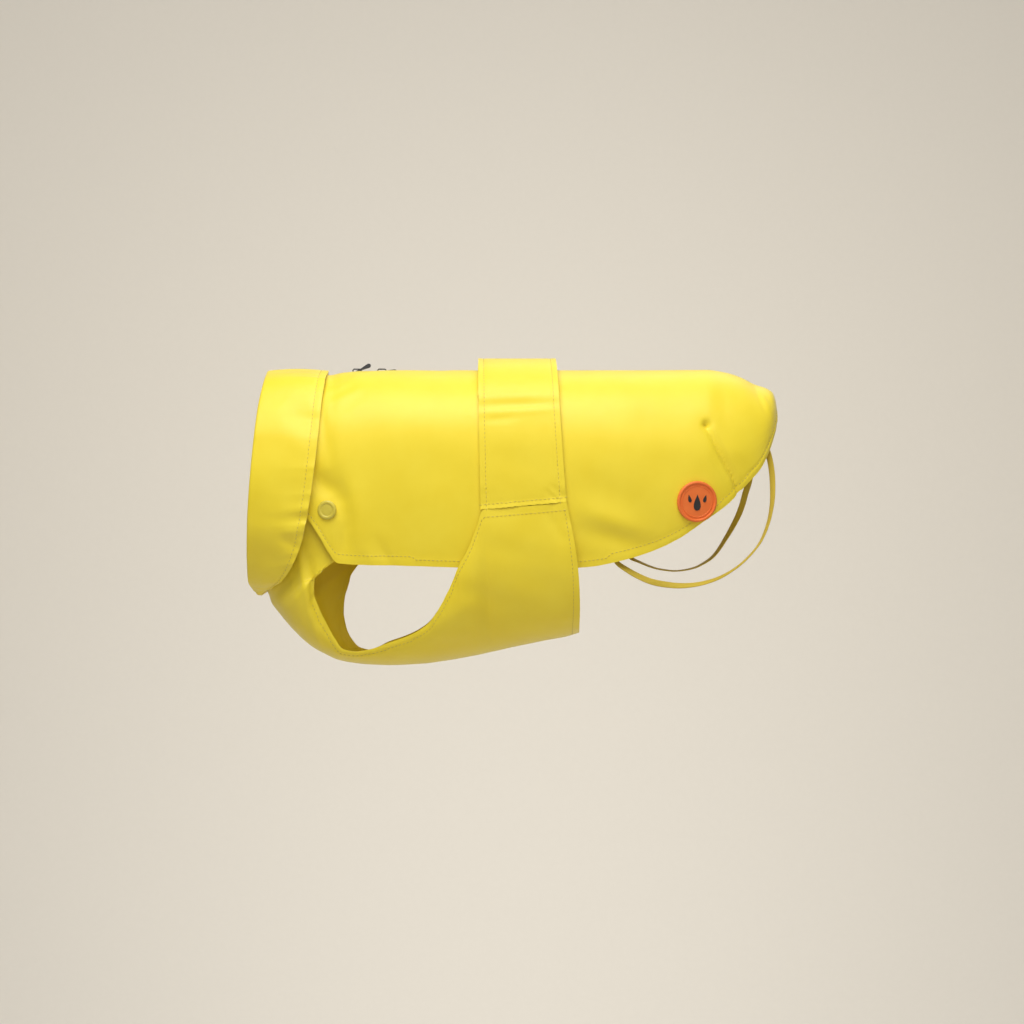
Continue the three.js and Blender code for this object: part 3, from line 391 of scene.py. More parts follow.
def disc_faces(rings, sides):
    """Faces of a turned disc: point 0 is its top, point 1 its underside, then the rings."""
    def at(i, k):
        return 2 + i * sides + k % sides
    faces = []
    for k in range(sides):
        faces.append((0, at(0, k), at(0, k + 1)))
        faces += [(at(i, k), at(i + 1, k), at(i + 1, k + 1), at(i, k + 1))
                  for i in range(rings - 1)]
        faces.append((1, at(rings - 1, k + 1), at(rings - 1, k)))
    return faces


def paint(piece, *materials):
    piece.data.materials.clear()
    for material in materials:
        piece.data.materials.append(material)


def place(piece, slot, nodes=(), body=VEST):
    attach(piece, body)
    if nodes:
        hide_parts(*nodes)
    return piece


# ---- shader groups and materials -------------------------------------------------
def new_group(name, inputs, outputs):
    group = bpy.data.node_groups.new(name, "ShaderNodeTree")
    for label, kind, value in inputs:
        socket = group.interface.new_socket(label, in_out="INPUT", socket_type=kind)
        socket.default_value = value
    for label, kind in outputs:
        group.interface.new_socket(label, in_out="OUTPUT", socket_type=kind)
    return group, group.nodes.new("NodeGroupInput"), group.nodes.new("NodeGroupOutput")


def weave_group():
    """Fine plain weave and slow unevenness: a colour factor and a height."""
    group, given, result = new_group(
        "fine_weave",
        [("Threads per metre", "NodeSocketFloat", 2600.0), ("Unevenness", "NodeSocketFloat", 0.35)],
        [("Tone", "NodeSocketFloat"), ("Height", "NodeSocketFloat")])
    nodes, links = group.nodes, group.links
    coordinates = nodes.new("ShaderNodeTexCoord")
    heights = []
    for direction in ("X", "Z"):
        wave = nodes.new("ShaderNodeTexWave")
        wave.bands_direction = direction
        wave.inputs["Distortion"].default_value = 0.6
        wave.inputs["Detail"].default_value = 1.0
        links.new(coordinates.outputs["Object"], wave.inputs["Vector"])
        links.new(given.outputs["Threads per metre"], wave.inputs["Scale"])
        heights.append(wave)
    weave = nodes.new("ShaderNodeMath")
    weave.operation = "MULTIPLY"
    links.new(heights[0].outputs["Fac"], weave.inputs[0])
    links.new(heights[1].outputs["Fac"], weave.inputs[1])
    cloud = nodes.new("ShaderNodeTexNoise")
    cloud.inputs["Scale"].default_value = 38.0
    cloud.inputs["Detail"].default_value = 5.0
    links.new(coordinates.outputs["Object"], cloud.inputs["Vector"])
    scaled = nodes.new("ShaderNodeMath")
    scaled.operation = "MULTIPLY"
    links.new(cloud.outputs["Fac"], scaled.inputs[0])
    links.new(given.outputs["Unevenness"], scaled.inputs[1])
    tone = nodes.new("ShaderNodeMath")
    tone.operation = "MULTIPLY_ADD"
    tone.inputs[1].default_value = 0.12
    links.new(weave.outputs[0], tone.inputs[0])
    links.new(scaled.outputs[0], tone.inputs[2])
    links.new(tone.outputs[0], result.inputs["Tone"])
    links.new(weave.outputs[0], result.inputs["Height"])
    return group


def grain_group():
    """Fine speckle for moulded rubber, plastic and metal."""
    group, given, result = new_group(
        "moulded_grain", [("Scale", "NodeSocketFloat", 2500.0)],
        [("Tone", "NodeSocketFloat"), ("Height", "NodeSocketFloat")])
    nodes, links = group.nodes, group.links
    coordinates = nodes.new("ShaderNodeTexCoord")
    fine = nodes.new("ShaderNodeTexNoise")
    fine.inputs["Detail"].default_value = 3.0
    links.new(given.outputs["Scale"], fine.inputs["Scale"])
    links.new(coordinates.outputs["Object"], fine.inputs["Vector"])
    broad = nodes.new("ShaderNodeTexNoise")
    broad.inputs["Scale"].default_value = 160.0
    links.new(coordinates.outputs["Object"], broad.inputs["Vector"])
    links.new(broad.outputs["Fac"], result.inputs["Tone"])
    links.new(fine.outputs["Fac"], result.inputs["Height"])
    return group


WEAVE = weave_group()
GRAIN = grain_group()


def finish_material(name, group, values, low, high, roughness, bump, strength, **shader):
    """A material whose colour, roughness and bump come from a shared group."""
    material = bpy.data.materials.new(name)
    material.use_nodes = True
    nodes, links = material.node_tree.nodes, material.node_tree.links
    principled = nodes["Principled BSDF"]
    effect = nodes.new("ShaderNodeGroup")
    effect.node_tree = group
    for label, value in values.items():
        effect.inputs[label].default_value = value
    colours = nodes.new("ShaderNodeMix")
    colours.data_type = "RGBA"
    colours.inputs["A"].default_value = (*low, 1)
    colours.inputs["B"].default_value = (*high, 1)
    links.new(effect.outputs["Tone"], colours.inputs["Factor"])
    links.new(colours.outputs["Result"], principled.inputs["Base Color"])
    rough = nodes.new("ShaderNodeMapRange")
    rough.inputs["To Min"].default_value = roughness[0]
    rough.inputs["To Max"].default_value = roughness[1]
    links.new(effect.outputs["Tone"], rough.inputs["Value"])
    links.new(rough.outputs["Result"], principled.inputs["Roughness"])
    surface = nodes.new("ShaderNodeBump")
    surface.inputs["Distance"].default_value = bump
    surface.inputs["Strength"].default_value = strength
    links.new(effect.outputs["Height"], surface.inputs["Height"])
    links.new(surface.outputs["Normal"], principled.inputs["Normal"])
    for label, value in shader.items():
        principled.inputs[label.replace("_", " ")].default_value = value
    return material


def cloth_material(name, low, high, sheen=0.25):
    return finish_material(
        name, WEAVE, {"Threads per metre": 2600.0, "Unevenness": 0.8}, low, high,
        (0.36, 0.5), 0.00006, 0.35,
        Sheen_Weight=sheen, Sheen_Roughness=0.4, Specular_IOR_Level=0.45)


YELLOW = cloth_material("yellow_satin_cloth", (0.84, 0.64, 0.014), (0.93, 0.76, 0.05), sheen=0.22)
# painted shade: the inner faces are the same yellow cloth, coloured darker and oranger to stand in
# for the shadow and the light coming through the cloth inside the vest
PAINTED_SHADE_INSIDE = cloth_material("cloth_inside_painted_shade", (0.62, 0.32, 0.002), (0.72, 0.40, 0.005), sheen=0.02)
THREAD = cloth_material("yellow_thread", (0.50, 0.40, 0.05), (0.72, 0.58, 0.10))
TAPE = cloth_material("zip_tape_weave", (0.62, 0.46, 0.04), (0.74, 0.58, 0.07))
ELASTIC = finish_material(
    "braided_elastic", WEAVE, {"Threads per metre": 1300.0, "Unevenness": 0.6},
    (0.52, 0.37, 0.012), (0.68, 0.50, 0.03), (0.5, 0.65), 0.0002, 0.5, Sheen_Weight=0.2)
CAP = finish_material(
    "snap_cap_enamel", GRAIN, {"Scale": 2200.0}, (0.58, 0.47, 0.045), (0.66, 0.55, 0.07),
    (0.32, 0.42), 0.00004, 0.3)
RUBBER = finish_material(
    "orange_rubber", GRAIN, {"Scale": 2600.0}, (0.80, 0.15, 0.02), (0.88, 0.20, 0.035),
    (0.5, 0.62), 0.00005, 0.4)
INK = finish_material(
    "black_rubber", GRAIN, {"Scale": 2600.0}, (0.012, 0.011, 0.012), (0.03, 0.028, 0.028),
    (0.5, 0.6), 0.00005, 0.4)
BLACK = finish_material(
    "black_enamel", GRAIN, {"Scale": 1800.0}, (0.008, 0.008, 0.009), (0.022, 0.022, 0.023),
    (0.18, 0.3), 0.00003, 0.3, Coat_Weight=0.4)


# ---- repeated small things along a path -------------------------------------------
def repeat_tree():
    """Rounded beads set along a line: stitches and zip teeth."""
    tree = bpy.data.node_groups.new("beads_along_line", "GeometryNodeTree")
    for label, kind, value in (("Geometry", "NodeSocketGeometry", None),
                               ("Pitch", "NodeSocketFloat", 0.0026),
                               ("Bead size", "NodeSocketVector", (0.0018, 0.0005, 0.0004)),
                               ("Material", "NodeSocketMaterial", None)):
        socket = tree.interface.new_socket(label, in_out="INPUT", socket_type=kind)
        if value is not None:
            socket.default_value = value
    tree.interface.new_socket("Geometry", in_out="OUTPUT", socket_type="NodeSocketGeometry")
    nodes, links = tree.nodes, tree.links
    given, result = nodes.new("NodeGroupInput"), nodes.new("NodeGroupOutput")
    curve = nodes.new("GeometryNodeMeshToCurve")
    links.new(given.outputs["Geometry"], curve.inputs["Mesh"])
    spaced = nodes.new("GeometryNodeResampleCurve")
    spaced.mode = "LENGTH"
    links.new(curve.outputs["Curve"], spaced.inputs["Curve"])
    links.new(given.outputs["Pitch"], spaced.inputs["Length"])
    bead = nodes.new("GeometryNodeMeshUVSphere")
    bead.inputs["Segments"].default_value = 6
    bead.inputs["Rings"].default_value = 4
    bead.inputs["Radius"].default_value = 0.5
    sized = nodes.new("GeometryNodeTransform")
    links.new(bead.outputs["Mesh"], sized.inputs["Geometry"])
    links.new(given.outputs["Bead size"], sized.inputs["Scale"])
    tangent = nodes.new("GeometryNodeInputTangent")
    turn = nodes.new("FunctionNodeAlignEulerToVector")
    turn.axis = "X"
    links.new(tangent.outputs["Tangent"], turn.inputs["Vector"])
    beads = nodes.new("GeometryNodeInstanceOnPoints")
    links.new(spaced.outputs["Curve"], beads.inputs["Points"])
    links.new(sized.outputs["Geometry"], beads.inputs["Instance"])
    links.new(turn.outputs["Rotation"], beads.inputs["Rotation"])
    real = nodes.new("GeometryNodeRealizeInstances")
    links.new(beads.outputs["Instances"], real.inputs["Geometry"])
    coloured = nodes.new("GeometryNodeSetMaterial")
    links.new(real.outputs["Geometry"], coloured.inputs["Geometry"])
    links.new(given.outputs["Material"], coloured.inputs["Material"])
    links.new(coloured.outputs["Geometry"], result.inputs["Geometry"])
    return tree


BEADS = repeat_tree()


def beads_on(name, lines, pitch, size, material, slot, nodes=()):
    """One piece of beads along several lines of points in millimetres."""
    points, edges = [], []
    for line in lines:
        start = len(points)
        points += [tuple(p * MM) for p in line]
        edges += [(start + k, start + k + 1) for k in range(len(line) - 1)]
    guide = bpy.data.meshes.new(name + "_guide")
    guide.from_pydata(points, edges, [])
    piece = link(name, guide)
    modifier = piece.modifiers.new("beads", "NODES")
    modifier.node_group = BEADS
    names = {item.name: item.identifier for item in BEADS.interface.items_tree
             if item.in_out == "INPUT"}
    modifier[names["Pitch"]] = pitch * MM
    modifier[names["Bead size"]] = tuple(s * MM for s in size)
    modifier[names["Material"]] = material
    evaluated = piece.evaluated_get(bpy.context.evaluated_depsgraph_get())
    mesh = bpy.data.meshes.new_from_object(evaluated)
    piece.modifiers.clear()
    piece.data = mesh
    mesh.polygons.foreach_set("use_smooth", [True] * len(mesh.polygons))
    if not mesh.materials:
        mesh.materials.append(material)
    return place(piece, slot, nodes)


STITCH = (2.0, 0.55, 0.45)
STITCH_PITCH = 2.9


# ---- back panel --------------------------------------------------------------------
BACK = Rows(BACK_COLUMNS, BACK_ROWS, ("spine", "hem"))
BACK_STATIONS = 210
BACK_HALF = 80

# Troughs (depth above 0) and ridges (below 0) on the side: x1, z1, x2, z2, depth, width.
BACK_FOLDS = (
    (-128, -72, -116, -88, 2.8, 7.0),
    (-114, -74, -106, -104, 2.6, 7.0),
    (-106, -104, -108, -130, 1.9, 6.0),
    (-101, -84, -97, -122, -0.9, 7.0),
    (-124, -28, -118, -62, 1.2, 5.0),
    (-118, -10, -104, -3, 0.7, 2.2),
    (-118, -18, -100, -9, 0.8, 3.0),
    (-113, -30, -96, -17, 0.6, 4.0),
    (-84, -118, -76, -135, 0.9, 3.2),
    (-92, -124, -88, -135, -0.6, 3.0),
    (-60, -60, -30, -72, 0.8, 16.0),
    (58, -96, 98, -112, -1.3, 7.0),
    (60, -112, 104, -122, 1.5, 7.0),
    (60, -78, 92, -92, 0.7, 9.0),
    (70, -30, 130, -42, 0.7, 14.0),
    (96, -58, 132, -70, 0.6, 12.0),
    (142, -36, 165, -88, 0.9, 6.0),
    (150, -52, 172, -60, -0.6, 7.0),
    (178, -11, 186, -30, 0.8, 2.6),
    (183, -14, 190, -24, 0.5, 1.6),
    (181, -15, 189, -33, -0.4, 1.8),
)
DART = ((142.6, -36.6), (148.1, -48.5), (154.7, -61.8), (161.7, -74.1), (166.2, -86.0))


def back_base(places, across):
    """Plain outer surface of the back panel, without folds: grid and sections' lengths."""
    rows = BACK.at(places)
    grid = np.zeros((len(places), len(across), 3))
    lengths = np.zeros(len(places))
    for i in range(len(places)):
        row = {name: float(rows[name][i]) for name in BACK_COLUMNS}
        drop = math.hypot(row["hem_x"] - row["spine_x"], row["hem_z"] - row["spine_z"])
        down, wide = half_section(drop, row["wide_y"], row["wide_at"], row["hem_y"], row["round"])
        down, wide, lengths[i] = even(down, wide, np.abs(across))
        grid[i, :, 0] = row["spine_x"] + (row["hem_x"] - row["spine_x"]) * down / drop
        grid[i, :, 1] = np.sign(across) * wide
        grid[i, :, 2] = row["spine_z"] + (row["hem_z"] - row["spine_z"]) * down / drop
    centre, half = (ZIP_FRONT + ZIP_BACK) / 2, (ZIP_BACK - ZIP_FRONT) / 2
    inside = 1 - smooth_step(np.abs(grid[..., 0] - centre), half, half + 9)
    grid[..., 2] -= VALLEY_DEPTH * inside * np.exp(-(grid[..., 1] / VALLEY_WIDTH) ** 2)
    return grid, lengths


def dart_depth(x, z):
    total = np.zeros_like(x)
    for (x1, z1), (x2, z2) in zip(DART, DART[1:]):
        distance, _ = near_line(x, z, x1, z1, x2, z2)
        total = np.maximum(total, np.exp(-(distance / 1.5) ** 2))
    pocket = np.exp(-(np.hypot(x - DART[0][0] - 1, z - DART[0][1] + 1) / 3.0) ** 2)
    return 2.2 * total + 2.0 * pocket


def back_detail(grid, lengths, across):
    """How far each point of the back panel moves in for folds, hems and puckers."""
    x, y, z = grid[..., 0], grid[..., 1], grid[..., 2]
    shift = np.where(y > 0, 3.0, 0.0)
    moved = folds(x + shift, z + 0.6 * shift, BACK_FOLDS) * np.clip(np.abs(y) / 12, 0, 1)
    moved += dart_depth(x, z)
    inward = (1 - np.abs(across))[None, :] * lengths[:, None]
    along = np.where(z > -100, -z * 1.2 + x, x)
    moved += puckers(along, inward, 5, 0.7, 10.0)
    moved += stitch_groove(inward, BACK_HEM, 0.35)
    moved -= 0.25 * smooth_step(-inward, -BACK_HEM, 1 - BACK_HEM)
    moved += 0.45 * wobble(x + 0.3 * z, 21, 34.0) + 0.3 * wobble(z * 1.1 - 0.2 * x, 22, 27.0)
    return moved


def back_stations():
    stations = np.linspace(0, BACK.length, BACK_STATIONS)
    fine = np.linspace(0, BACK.length, 4000)
    spine = BACK.at(fine)["spine_x"]
    for x in (ZIP_FRONT, ZIP_BACK):
        wanted = fine[np.argmin(np.abs(spine - x))]
        stations[np.argmin(np.abs(stations - wanted))] = wanted
    return stations


def back_across():
    first = ZIP_HALF / HALF_GIRTH
    half = np.concatenate([np.linspace(0, first, 3), np.linspace(first, 1, BACK_HALF)[1:]])
    return np.concatenate([-half[:0:-1], half])


class BackSurface:
    """The finished back panel, and its points by x and z for what lies on it."""

    def __init__(self):
        self.places, self.across = back_stations(), back_across()
        base, self.lengths = back_base(self.places, self.across)
        self.normals = outward(base, (0, 0, -70))
        self.grid = base - self.normals * back_detail(base, self.lengths, self.across)[..., None]
        self.base = base

    def point(self, x, z, side, rise=0.0, plain=False):
        """The point at x and z on a side, moved out by rise, and its normal."""
        half = self.grid.shape[1] // 2
        part = slice(0, half + 1) if side < 0 else slice(half, None)
        source = self.base if plain else self.grid
        grid, normals = source[:, part], self.normals[:, part]
        distance = np.hypot(grid[..., 0] - x, grid[..., 2] - z)
        nearest = np.argsort(distance, axis=None)[:6]
        weight = 1 / (distance.flat[nearest] + 0.05) ** 2
        weight /= weight.sum()
        where = np.unravel_index(nearest, distance.shape)
        normal = (normals[where] * weight[:, None]).sum(axis=0)
        normal /= np.linalg.norm(normal)
        return (grid[where] * weight[:, None]).sum(axis=0) + normal * rise, normal


BACK_SURFACE = BackSurface()


def make_back_panel():
    surface = BACK_SURFACE
    spine = BACK.at(surface.places)["spine_x"]
    middle = len(surface.across) // 2
    in_slot = (spine[:-1] > ZIP_FRONT - 0.2) & (spine[1:] < ZIP_BACK + 0.2)
    cells = np.zeros((len(surface.places) - 1, len(surface.across) - 1), bool)
    cells[np.ix_(in_slot, range(middle - 2, middle + 2))] = True
    panel = wall_mesh("back_panel_cloth", surface.grid, surface.normals, CLOTH, open_cells=cells)
    paint(panel, YELLOW, PAINTED_SHADE_INSIDE)
    place(panel, "cloth", ["back_panel"])
    stitch_rows = []
    for side in (NEAR, FAR):
        line = []
        for i in range(2, len(surface.places) - 1):
            fraction = 1 - BACK_HEM / surface.lengths[i]
            if fraction < 0.3:
                continue
            column = np.argmin(np.abs(surface.across - side * fraction))
            line.append(surface.grid[i, column] + surface.normals[i, column] * THREAD_RISE)
        stitch_rows.append(line)
    beads_on("back_hem_stitches", stitch_rows, STITCH_PITCH, STITCH, THREAD, "cloth")


# ---- chest and belly panel -----------------------------------------------------------
UNDER = Rows(UNDER_COLUMNS, UNDER_ROWS, ("mid", "edge"))
UNDER_FOLDS = (
    (-139, -126, -131, -170, -1.6, 3.2),
    (-131, -170, -124, -193, -0.9, 2.8),
    (-133, -130, -127, -172, 1.4, 3.2),
    (-126, -165, -118, -190, 0.9, 2.6),
    (-150, -150, -140, -180, 0.9, 6.0),
    (-160, -160, -150, -172, 0.7, 3.0),
    (-60, -193, -20, -188, 0.8, 5.0),
    (-50, -182, -16, -160, -0.8, 6.0),
    (-30, -150, 10, -165, 0.8, 7.0),
    (-12, -120, 30, -132, 0.7, 8.0),
    (10, -140, 46, -152, 0.7, 8.0),
    (20, -172, 48, -168, -0.6, 6.0),
    (34, -100, 44, -118, 0.8, 4.0),
)


def under_base(places, across):
    rows = UNDER.at(places)
    grid = np.zeros((len(places), len(across), 3))
    lengths = np.zeros((len(places), 2))
    for i in range(len(places)):
        row = {name: float(rows[name][i]) for name in UNDER_COLUMNS}
        for k, side in enumerate((NEAR, FAR)):
            edge_x = row["edge_x"] + (row["far_back"] if side == FAR else 0)
            drop = math.hypot(edge_x - row["mid_x"], row["edge_z"] - row["mid_z"])
            down, wide = half_section(drop, row["edge_y"], 1, row["edge_y"], row["round"])
            chosen = (across < 0) if side == NEAR else (across >= 0)
            down, wide, lengths[i, k] = even(down, wide, np.abs(across[chosen]))
            f = down / drop
            grid[i, chosen, 0] = (row["mid_x"] + (edge_x - row["mid_x"]) * f
                                  + row["bow"] * np.sin(math.pi * f))
            grid[i, chosen, 1] = side * wide
            grid[i, chosen, 2] = row["mid_z"] + (row["edge_z"] - row["mid_z"]) * f
    return grid, lengths


def make_under_panel():
    places = np.linspace(0, UNDER.length, 170)
    across = np.linspace(-1, 1, 105)
    base, lengths = under_base(places, across)
    normals = outward(base, (-60, 0, -90))
    x, y, z = base[..., 0], base[..., 1], base[..., 2]
    shift = np.where(y > 0, 4.0, 0.0)
    moved = folds(x + shift, z - shift, UNDER_FOLDS) * np.clip(np.abs(y) / 14, 0.15, 1)
    inward = (1 - np.abs(across))[None, :] * np.where(
        across[None, :] < 0, lengths[:, :1], lengths[:, 1:])
    along = places[:, None] + 0 * inward
    # the piece is free to gather only at its stitched edges, not where it is tucked in
    free = smooth_step(places, 60, 75)[:, None]
    moved += puckers(along, inward, 11, 0.8, 9.0) * free
    back = (places[-1] - places)[:, None] + 0 * inward
    moved += puckers(z, back, 14, 0.8, 9.0)
    moved += stitch_groove(inward, UNDER_HEM, 0.3) * free
    moved += stitch_groove(back, UNDER_HEM, 0.3)
    moved += 0.25 * wobble(x - 0.4 * z, 31, 30.0)
    grid = base - normals * moved[..., None]
    panel = wall_mesh("chest_belly_cloth", grid, normals, CLOTH)
    paint(panel, YELLOW, PAINTED_SHADE_INSIDE)
    place(panel, "cloth", ["chest_belly_panel"])
    lines = []
    for side in (0, 1):
        line = []
        for i in range(45, len(places) - 2):
            column = np.argmin(np.abs(across - (2 * side - 1) * (1 - UNDER_HEM / lengths[i, side])))
            line.append(grid[i, column] + normals[i, column] * THREAD_RISE)
        lines.append(line)
    row = np.argmin(np.abs(places[-1] - places - UNDER_HEM))
    lines.append([grid[row, j] + normals[row, j] * THREAD_RISE for j in range(2, len(across) - 2)])
    beads_on("belly_hem_stitches", lines, STITCH_PITCH, STITCH, THREAD, "cloth")


# ---- collar ----------------------------------------------------------------------------
COLLAR = Rows(COLLAR_COLUMNS, COLLAR_ROWS)
LEAF, TURN, INNER = 34, 9, 12


def make_collar():
    turns = 260
    profiles, outs = [], []
    for turn in np.arange(turns) / turns:
        side = NEAR if turn <= 0.5 else FAR
        way = 2 * turn if turn <= 0.5 else 2 - 2 * turn
        row = {name: float(value) for name, value in COLLAR.at(way).items()}

        def corner(name):
            return np.array([row[name + "_x"], side * row[name + "_y"], row[name + "_z"]])
        fold, edge, seam = corner("fold"), corner("edge"), corner("seam")
        back = (edge - fold) / np.linalg.norm(edge - fold)
        out = np.array([0, fold[1] / 53, (fold[2] + 76.2) / 76.7])
        out -= back * out.dot(back)
        out /= np.linalg.norm(out)
        centre = fold + back * FOLD_RADIUS - out * FOLD_RADIUS
        start, end = centre + out * FOLD_RADIUS, centre - out * FOLD_RADIUS
        t = np.linspace(0, 1, LEAF)[:-1, None]
        leaf = edge + (start - edge) * t + out * FOLD_BULGE * np.sin(math.pi * t)
        angle = np.linspace(0, math.pi, TURN)[:, None]
        turned = centre + out * FOLD_RADIUS * np.cos(angle) - back * FOLD_RADIUS * np.sin(angle)
        inner = end + (seam - end) * np.linspace(0, 1, INNER)[1:, None]
        width = np.linalg.norm(edge - start)
        inward = np.concatenate([t[:, 0] * width, np.full(TURN + INNER - 1, width)])
        profiles.append((np.concatenate([leaf, turned, inner]), inward))
        outs.append(out)
    base = np.array([profile[0] for profile in profiles])
    inward = np.array([profile[1] for profile in profiles])
    normals = grid_normals(base, around=True)
    if np.sum(normals[0, 3] * outs[0]) < 0:
        normals = -normals
    on_leaf = (np.arange(base.shape[1]) < LEAF)[None, :]
    ring = np.cumsum(np.linalg.norm(np.diff(base[:, 0], axis=0, append=base[:1, 0]), axis=1))
    along = ring[:, None] + 0 * inward
    x, z = base[..., 0], base[..., 2]
    moved = puckers(along, inward, 41, 1.1, 10.0, 7.0)
    moved += stitch_groove(inward, COLLAR_HEM, 0.35)
    moved += folds(x, z, (
        (-150, -22, -126, -40, 1.3, 9.0), (-146, -44, -128, -60, -0.7, 8.0),
        (-160, -70, -134, -92, 0.8, 12.0), (-150, -118, -138, -124, 1.2, 3.4),
        (-148, -112, -136, -112, -0.8, 3.0), (-166, -126, -146, -140, 0.8, 7.0),
        (-158, -28, -136, -24, -0.6, 7.0)))
    moved += 0.3 * wobble(z + 0.5 * x, 44, 26.0)
    moved *= on_leaf * np.clip((inward.max() - inward) / 6, 0, 1)
    grid = base - normals * moved[..., None]
    collar = wall_mesh("collar_cloth", grid, normals, CLOTH, around=True)
    paint(collar, YELLOW, YELLOW)
    place(collar, "cloth", ["collar"])
    column = int(np.argmin(np.abs(inward[0, :LEAF - 1] - COLLAR_HEM)))
    line = [grid[i, column] + normals[i, column] * THREAD_RISE for i in range(turns)]
    beads_on("collar_stitches", [line], STITCH_PITCH, STITCH, THREAD, "cloth")


# ---- belly strap ---------------------------------------------------------------------------
STRAP_FRONT_TOP, STRAP_FRONT_SEAM, STRAP_BACK_TOP, STRAP_BACK_SEAM = -15.2, -13.2, 38.6, 45.9
STRAP_CLOTH = 1.3
TOP_RISE = ((-96, 2.4), (-60, 2.8), (-40, 3.6), (-28, 4.6), (-22, 6.0), (-10, 7.2), (1.2, 8.0),
            (12, 7.4), (24, 6.4), (40, 5.2), (64, 4.6))
UNDER_RISE = ((-96, 2.4), (-60, 2.6), (-40, 2.7), (-22, 3.6), (-10, 4.6), (1.2, 5.4),
              (12, 4.8), (22, 3.8))


def strap_grid(own_side, rises, crossed_end, lines=44, rounds=150):
    heights, values = np.array(rises, float).T
    grid, normals = np.zeros((lines, rounds, 3)), np.zeros((lines, rounds, 3))
    fine = np.linspace(0, BACK.length, 3000)
    spine = BACK.at(fine)["spine_x"]
    across = np.linspace(0.0, 1.0, 400)
    for i, t in enumerate(np.linspace(0, 1, lines)):
        top_x = STRAP_FRONT_TOP + (STRAP_BACK_TOP - STRAP_FRONT_TOP) * t
        seam_x = STRAP_FRONT_SEAM + (STRAP_BACK_SEAM - STRAP_FRONT_SEAM) * t
        seam_z = -96.4 + (96.4 - 91.2) * t
        middle = fine[np.argmin(np.abs(spine - top_x))]
        section, _ = back_base(np.array([middle]), across)
        own_end = across[np.argmin(np.abs(section[0, :, 2] - seam_z))]
        far_end = across[np.argmin(np.abs(section[0, :, 2] + crossed_end))]
        run = np.linspace(own_end * own_side, -far_end * own_side, rounds)
        own = np.sign(run) == own_side
        down = np.abs(run) / own_end
        x = np.where(own, top_x + (seam_x - top_x) * down**1.5, top_x)
        spots = np.interp(x, spine, fine)
        for j in range(rounds):
            around = np.array([run[j] - 0.004, run[j], run[j] + 0.004])
            along = np.array([spots[j] - 1.0, spots[j], spots[j] + 1.0])
            patch, _ = back_base(along, around)
            normal = np.cross(patch[2, 1] - patch[0, 1], patch[1, 2] - patch[1, 0])
            normal /= np.linalg.norm(normal)
            if normal[1] * patch[1, 1, 1] + normal[2] * (patch[1, 1, 2] + 70) < 0:
                normal = -normal
            signed = patch[1, 1, 2] if own[j] else max(1.2, 2.4 - patch[1, 1, 2])
            rise = monotone(heights, values, np.array([signed]))[0]
            grid[i, j] = patch[1, 1] + normal * rise
            normals[i, j] = normal
    return grid, normals


def make_strap(name, node, own_side, rises, crossed_end, strap_folds, seed):
    grid, normals = strap_grid(own_side, rises, crossed_end)
    lines, rounds = grid.shape[:2]
    near_side = grid[..., 1] * own_side > 0
    x, z = grid[..., 0], grid[..., 2]
    moved = folds(x, z, strap_folds) * near_side
    width = np.linalg.norm(grid[-1] - grid[0], axis=1)
    edge = np.minimum(np.linspace(0, 1, lines)[:, None], np.linspace(1, 0, lines)[:, None]) * width
    moved += puckers(z + 0 * edge, edge, seed, 0.3, 6.0)
    moved += stitch_groove(edge, STRAP_HEM, 0.3)
    seam = np.cumsum(np.linalg.norm(np.diff(grid[0], axis=0, prepend=grid[0][:1]), axis=1))
    moved += (puckers(x, seam[None, :], seed + 5, 0.35, 7.0)
              - 0.5 * np.exp(-(seam[None, :] / 2.2) ** 2)
              + stitch_groove(seam[None, :], STRAP_HEM, 0.35))
    grid = grid - normals * moved[..., None]
    strap = wall_mesh(name, grid, normals, STRAP_CLOTH)
    paint(strap, YELLOW, PAINTED_SHADE_INSIDE)
    place(strap, "cloth", [node])
    column = int(np.argmin(np.abs(seam - STRAP_HEM)))
    edge_rows = (3, lines - 4)
    stitch = [[grid[i, j] + normals[i, j] * THREAD_RISE for j in range(rounds)] for i in edge_rows]
    stitch.append([grid[i, column] + normals[i, column] * THREAD_RISE for i in range(lines)])
    beads_on(name + "_stitches", stitch, STITCH_PITCH, STITCH, THREAD, "cloth")


# ---- patch, snaps, zip and elastics ------------------------------------------------------------
BADGE_X, BADGE_Z, BADGE_RADIUS = 135.7, -90.9, 14.2
BADGE_PROFILE = ((0.0, 1.3), (0.25, 1.3), (0.5, 1.3), (0.70, 1.3), (0.735, 1.3), (0.75, 1.55),
                 (0.775, 1.55), (0.79, 1.3), (0.86, 1.3), (0.88, 2.0), (0.91, 2.25), (0.96, 2.2),
                 (0.99, 1.9), (1.0, 1.4), (1.0, 0.35))


def badge_frame():
    centre, normal = BACK_SURFACE.point(BADGE_X, BADGE_Z, NEAR)
    across = np.cross((0, 0, 1), normal)
    across /= np.linalg.norm(across)
    return centre, normal, across, np.cross(normal, across)


def on_badge(u, v, rise):
    """A point of the patch at u across and v up, standing rise off the panel."""
    centre, normal, across, up = badge_frame()
    flat = centre + across * u + up * v
    bent, _ = BACK_SURFACE.point(flat[0], flat[2], NEAR, plain=True)
    sag = (bent - centre).dot(normal) * 0.5
    return flat + normal * (rise + min(sag, 0.4))


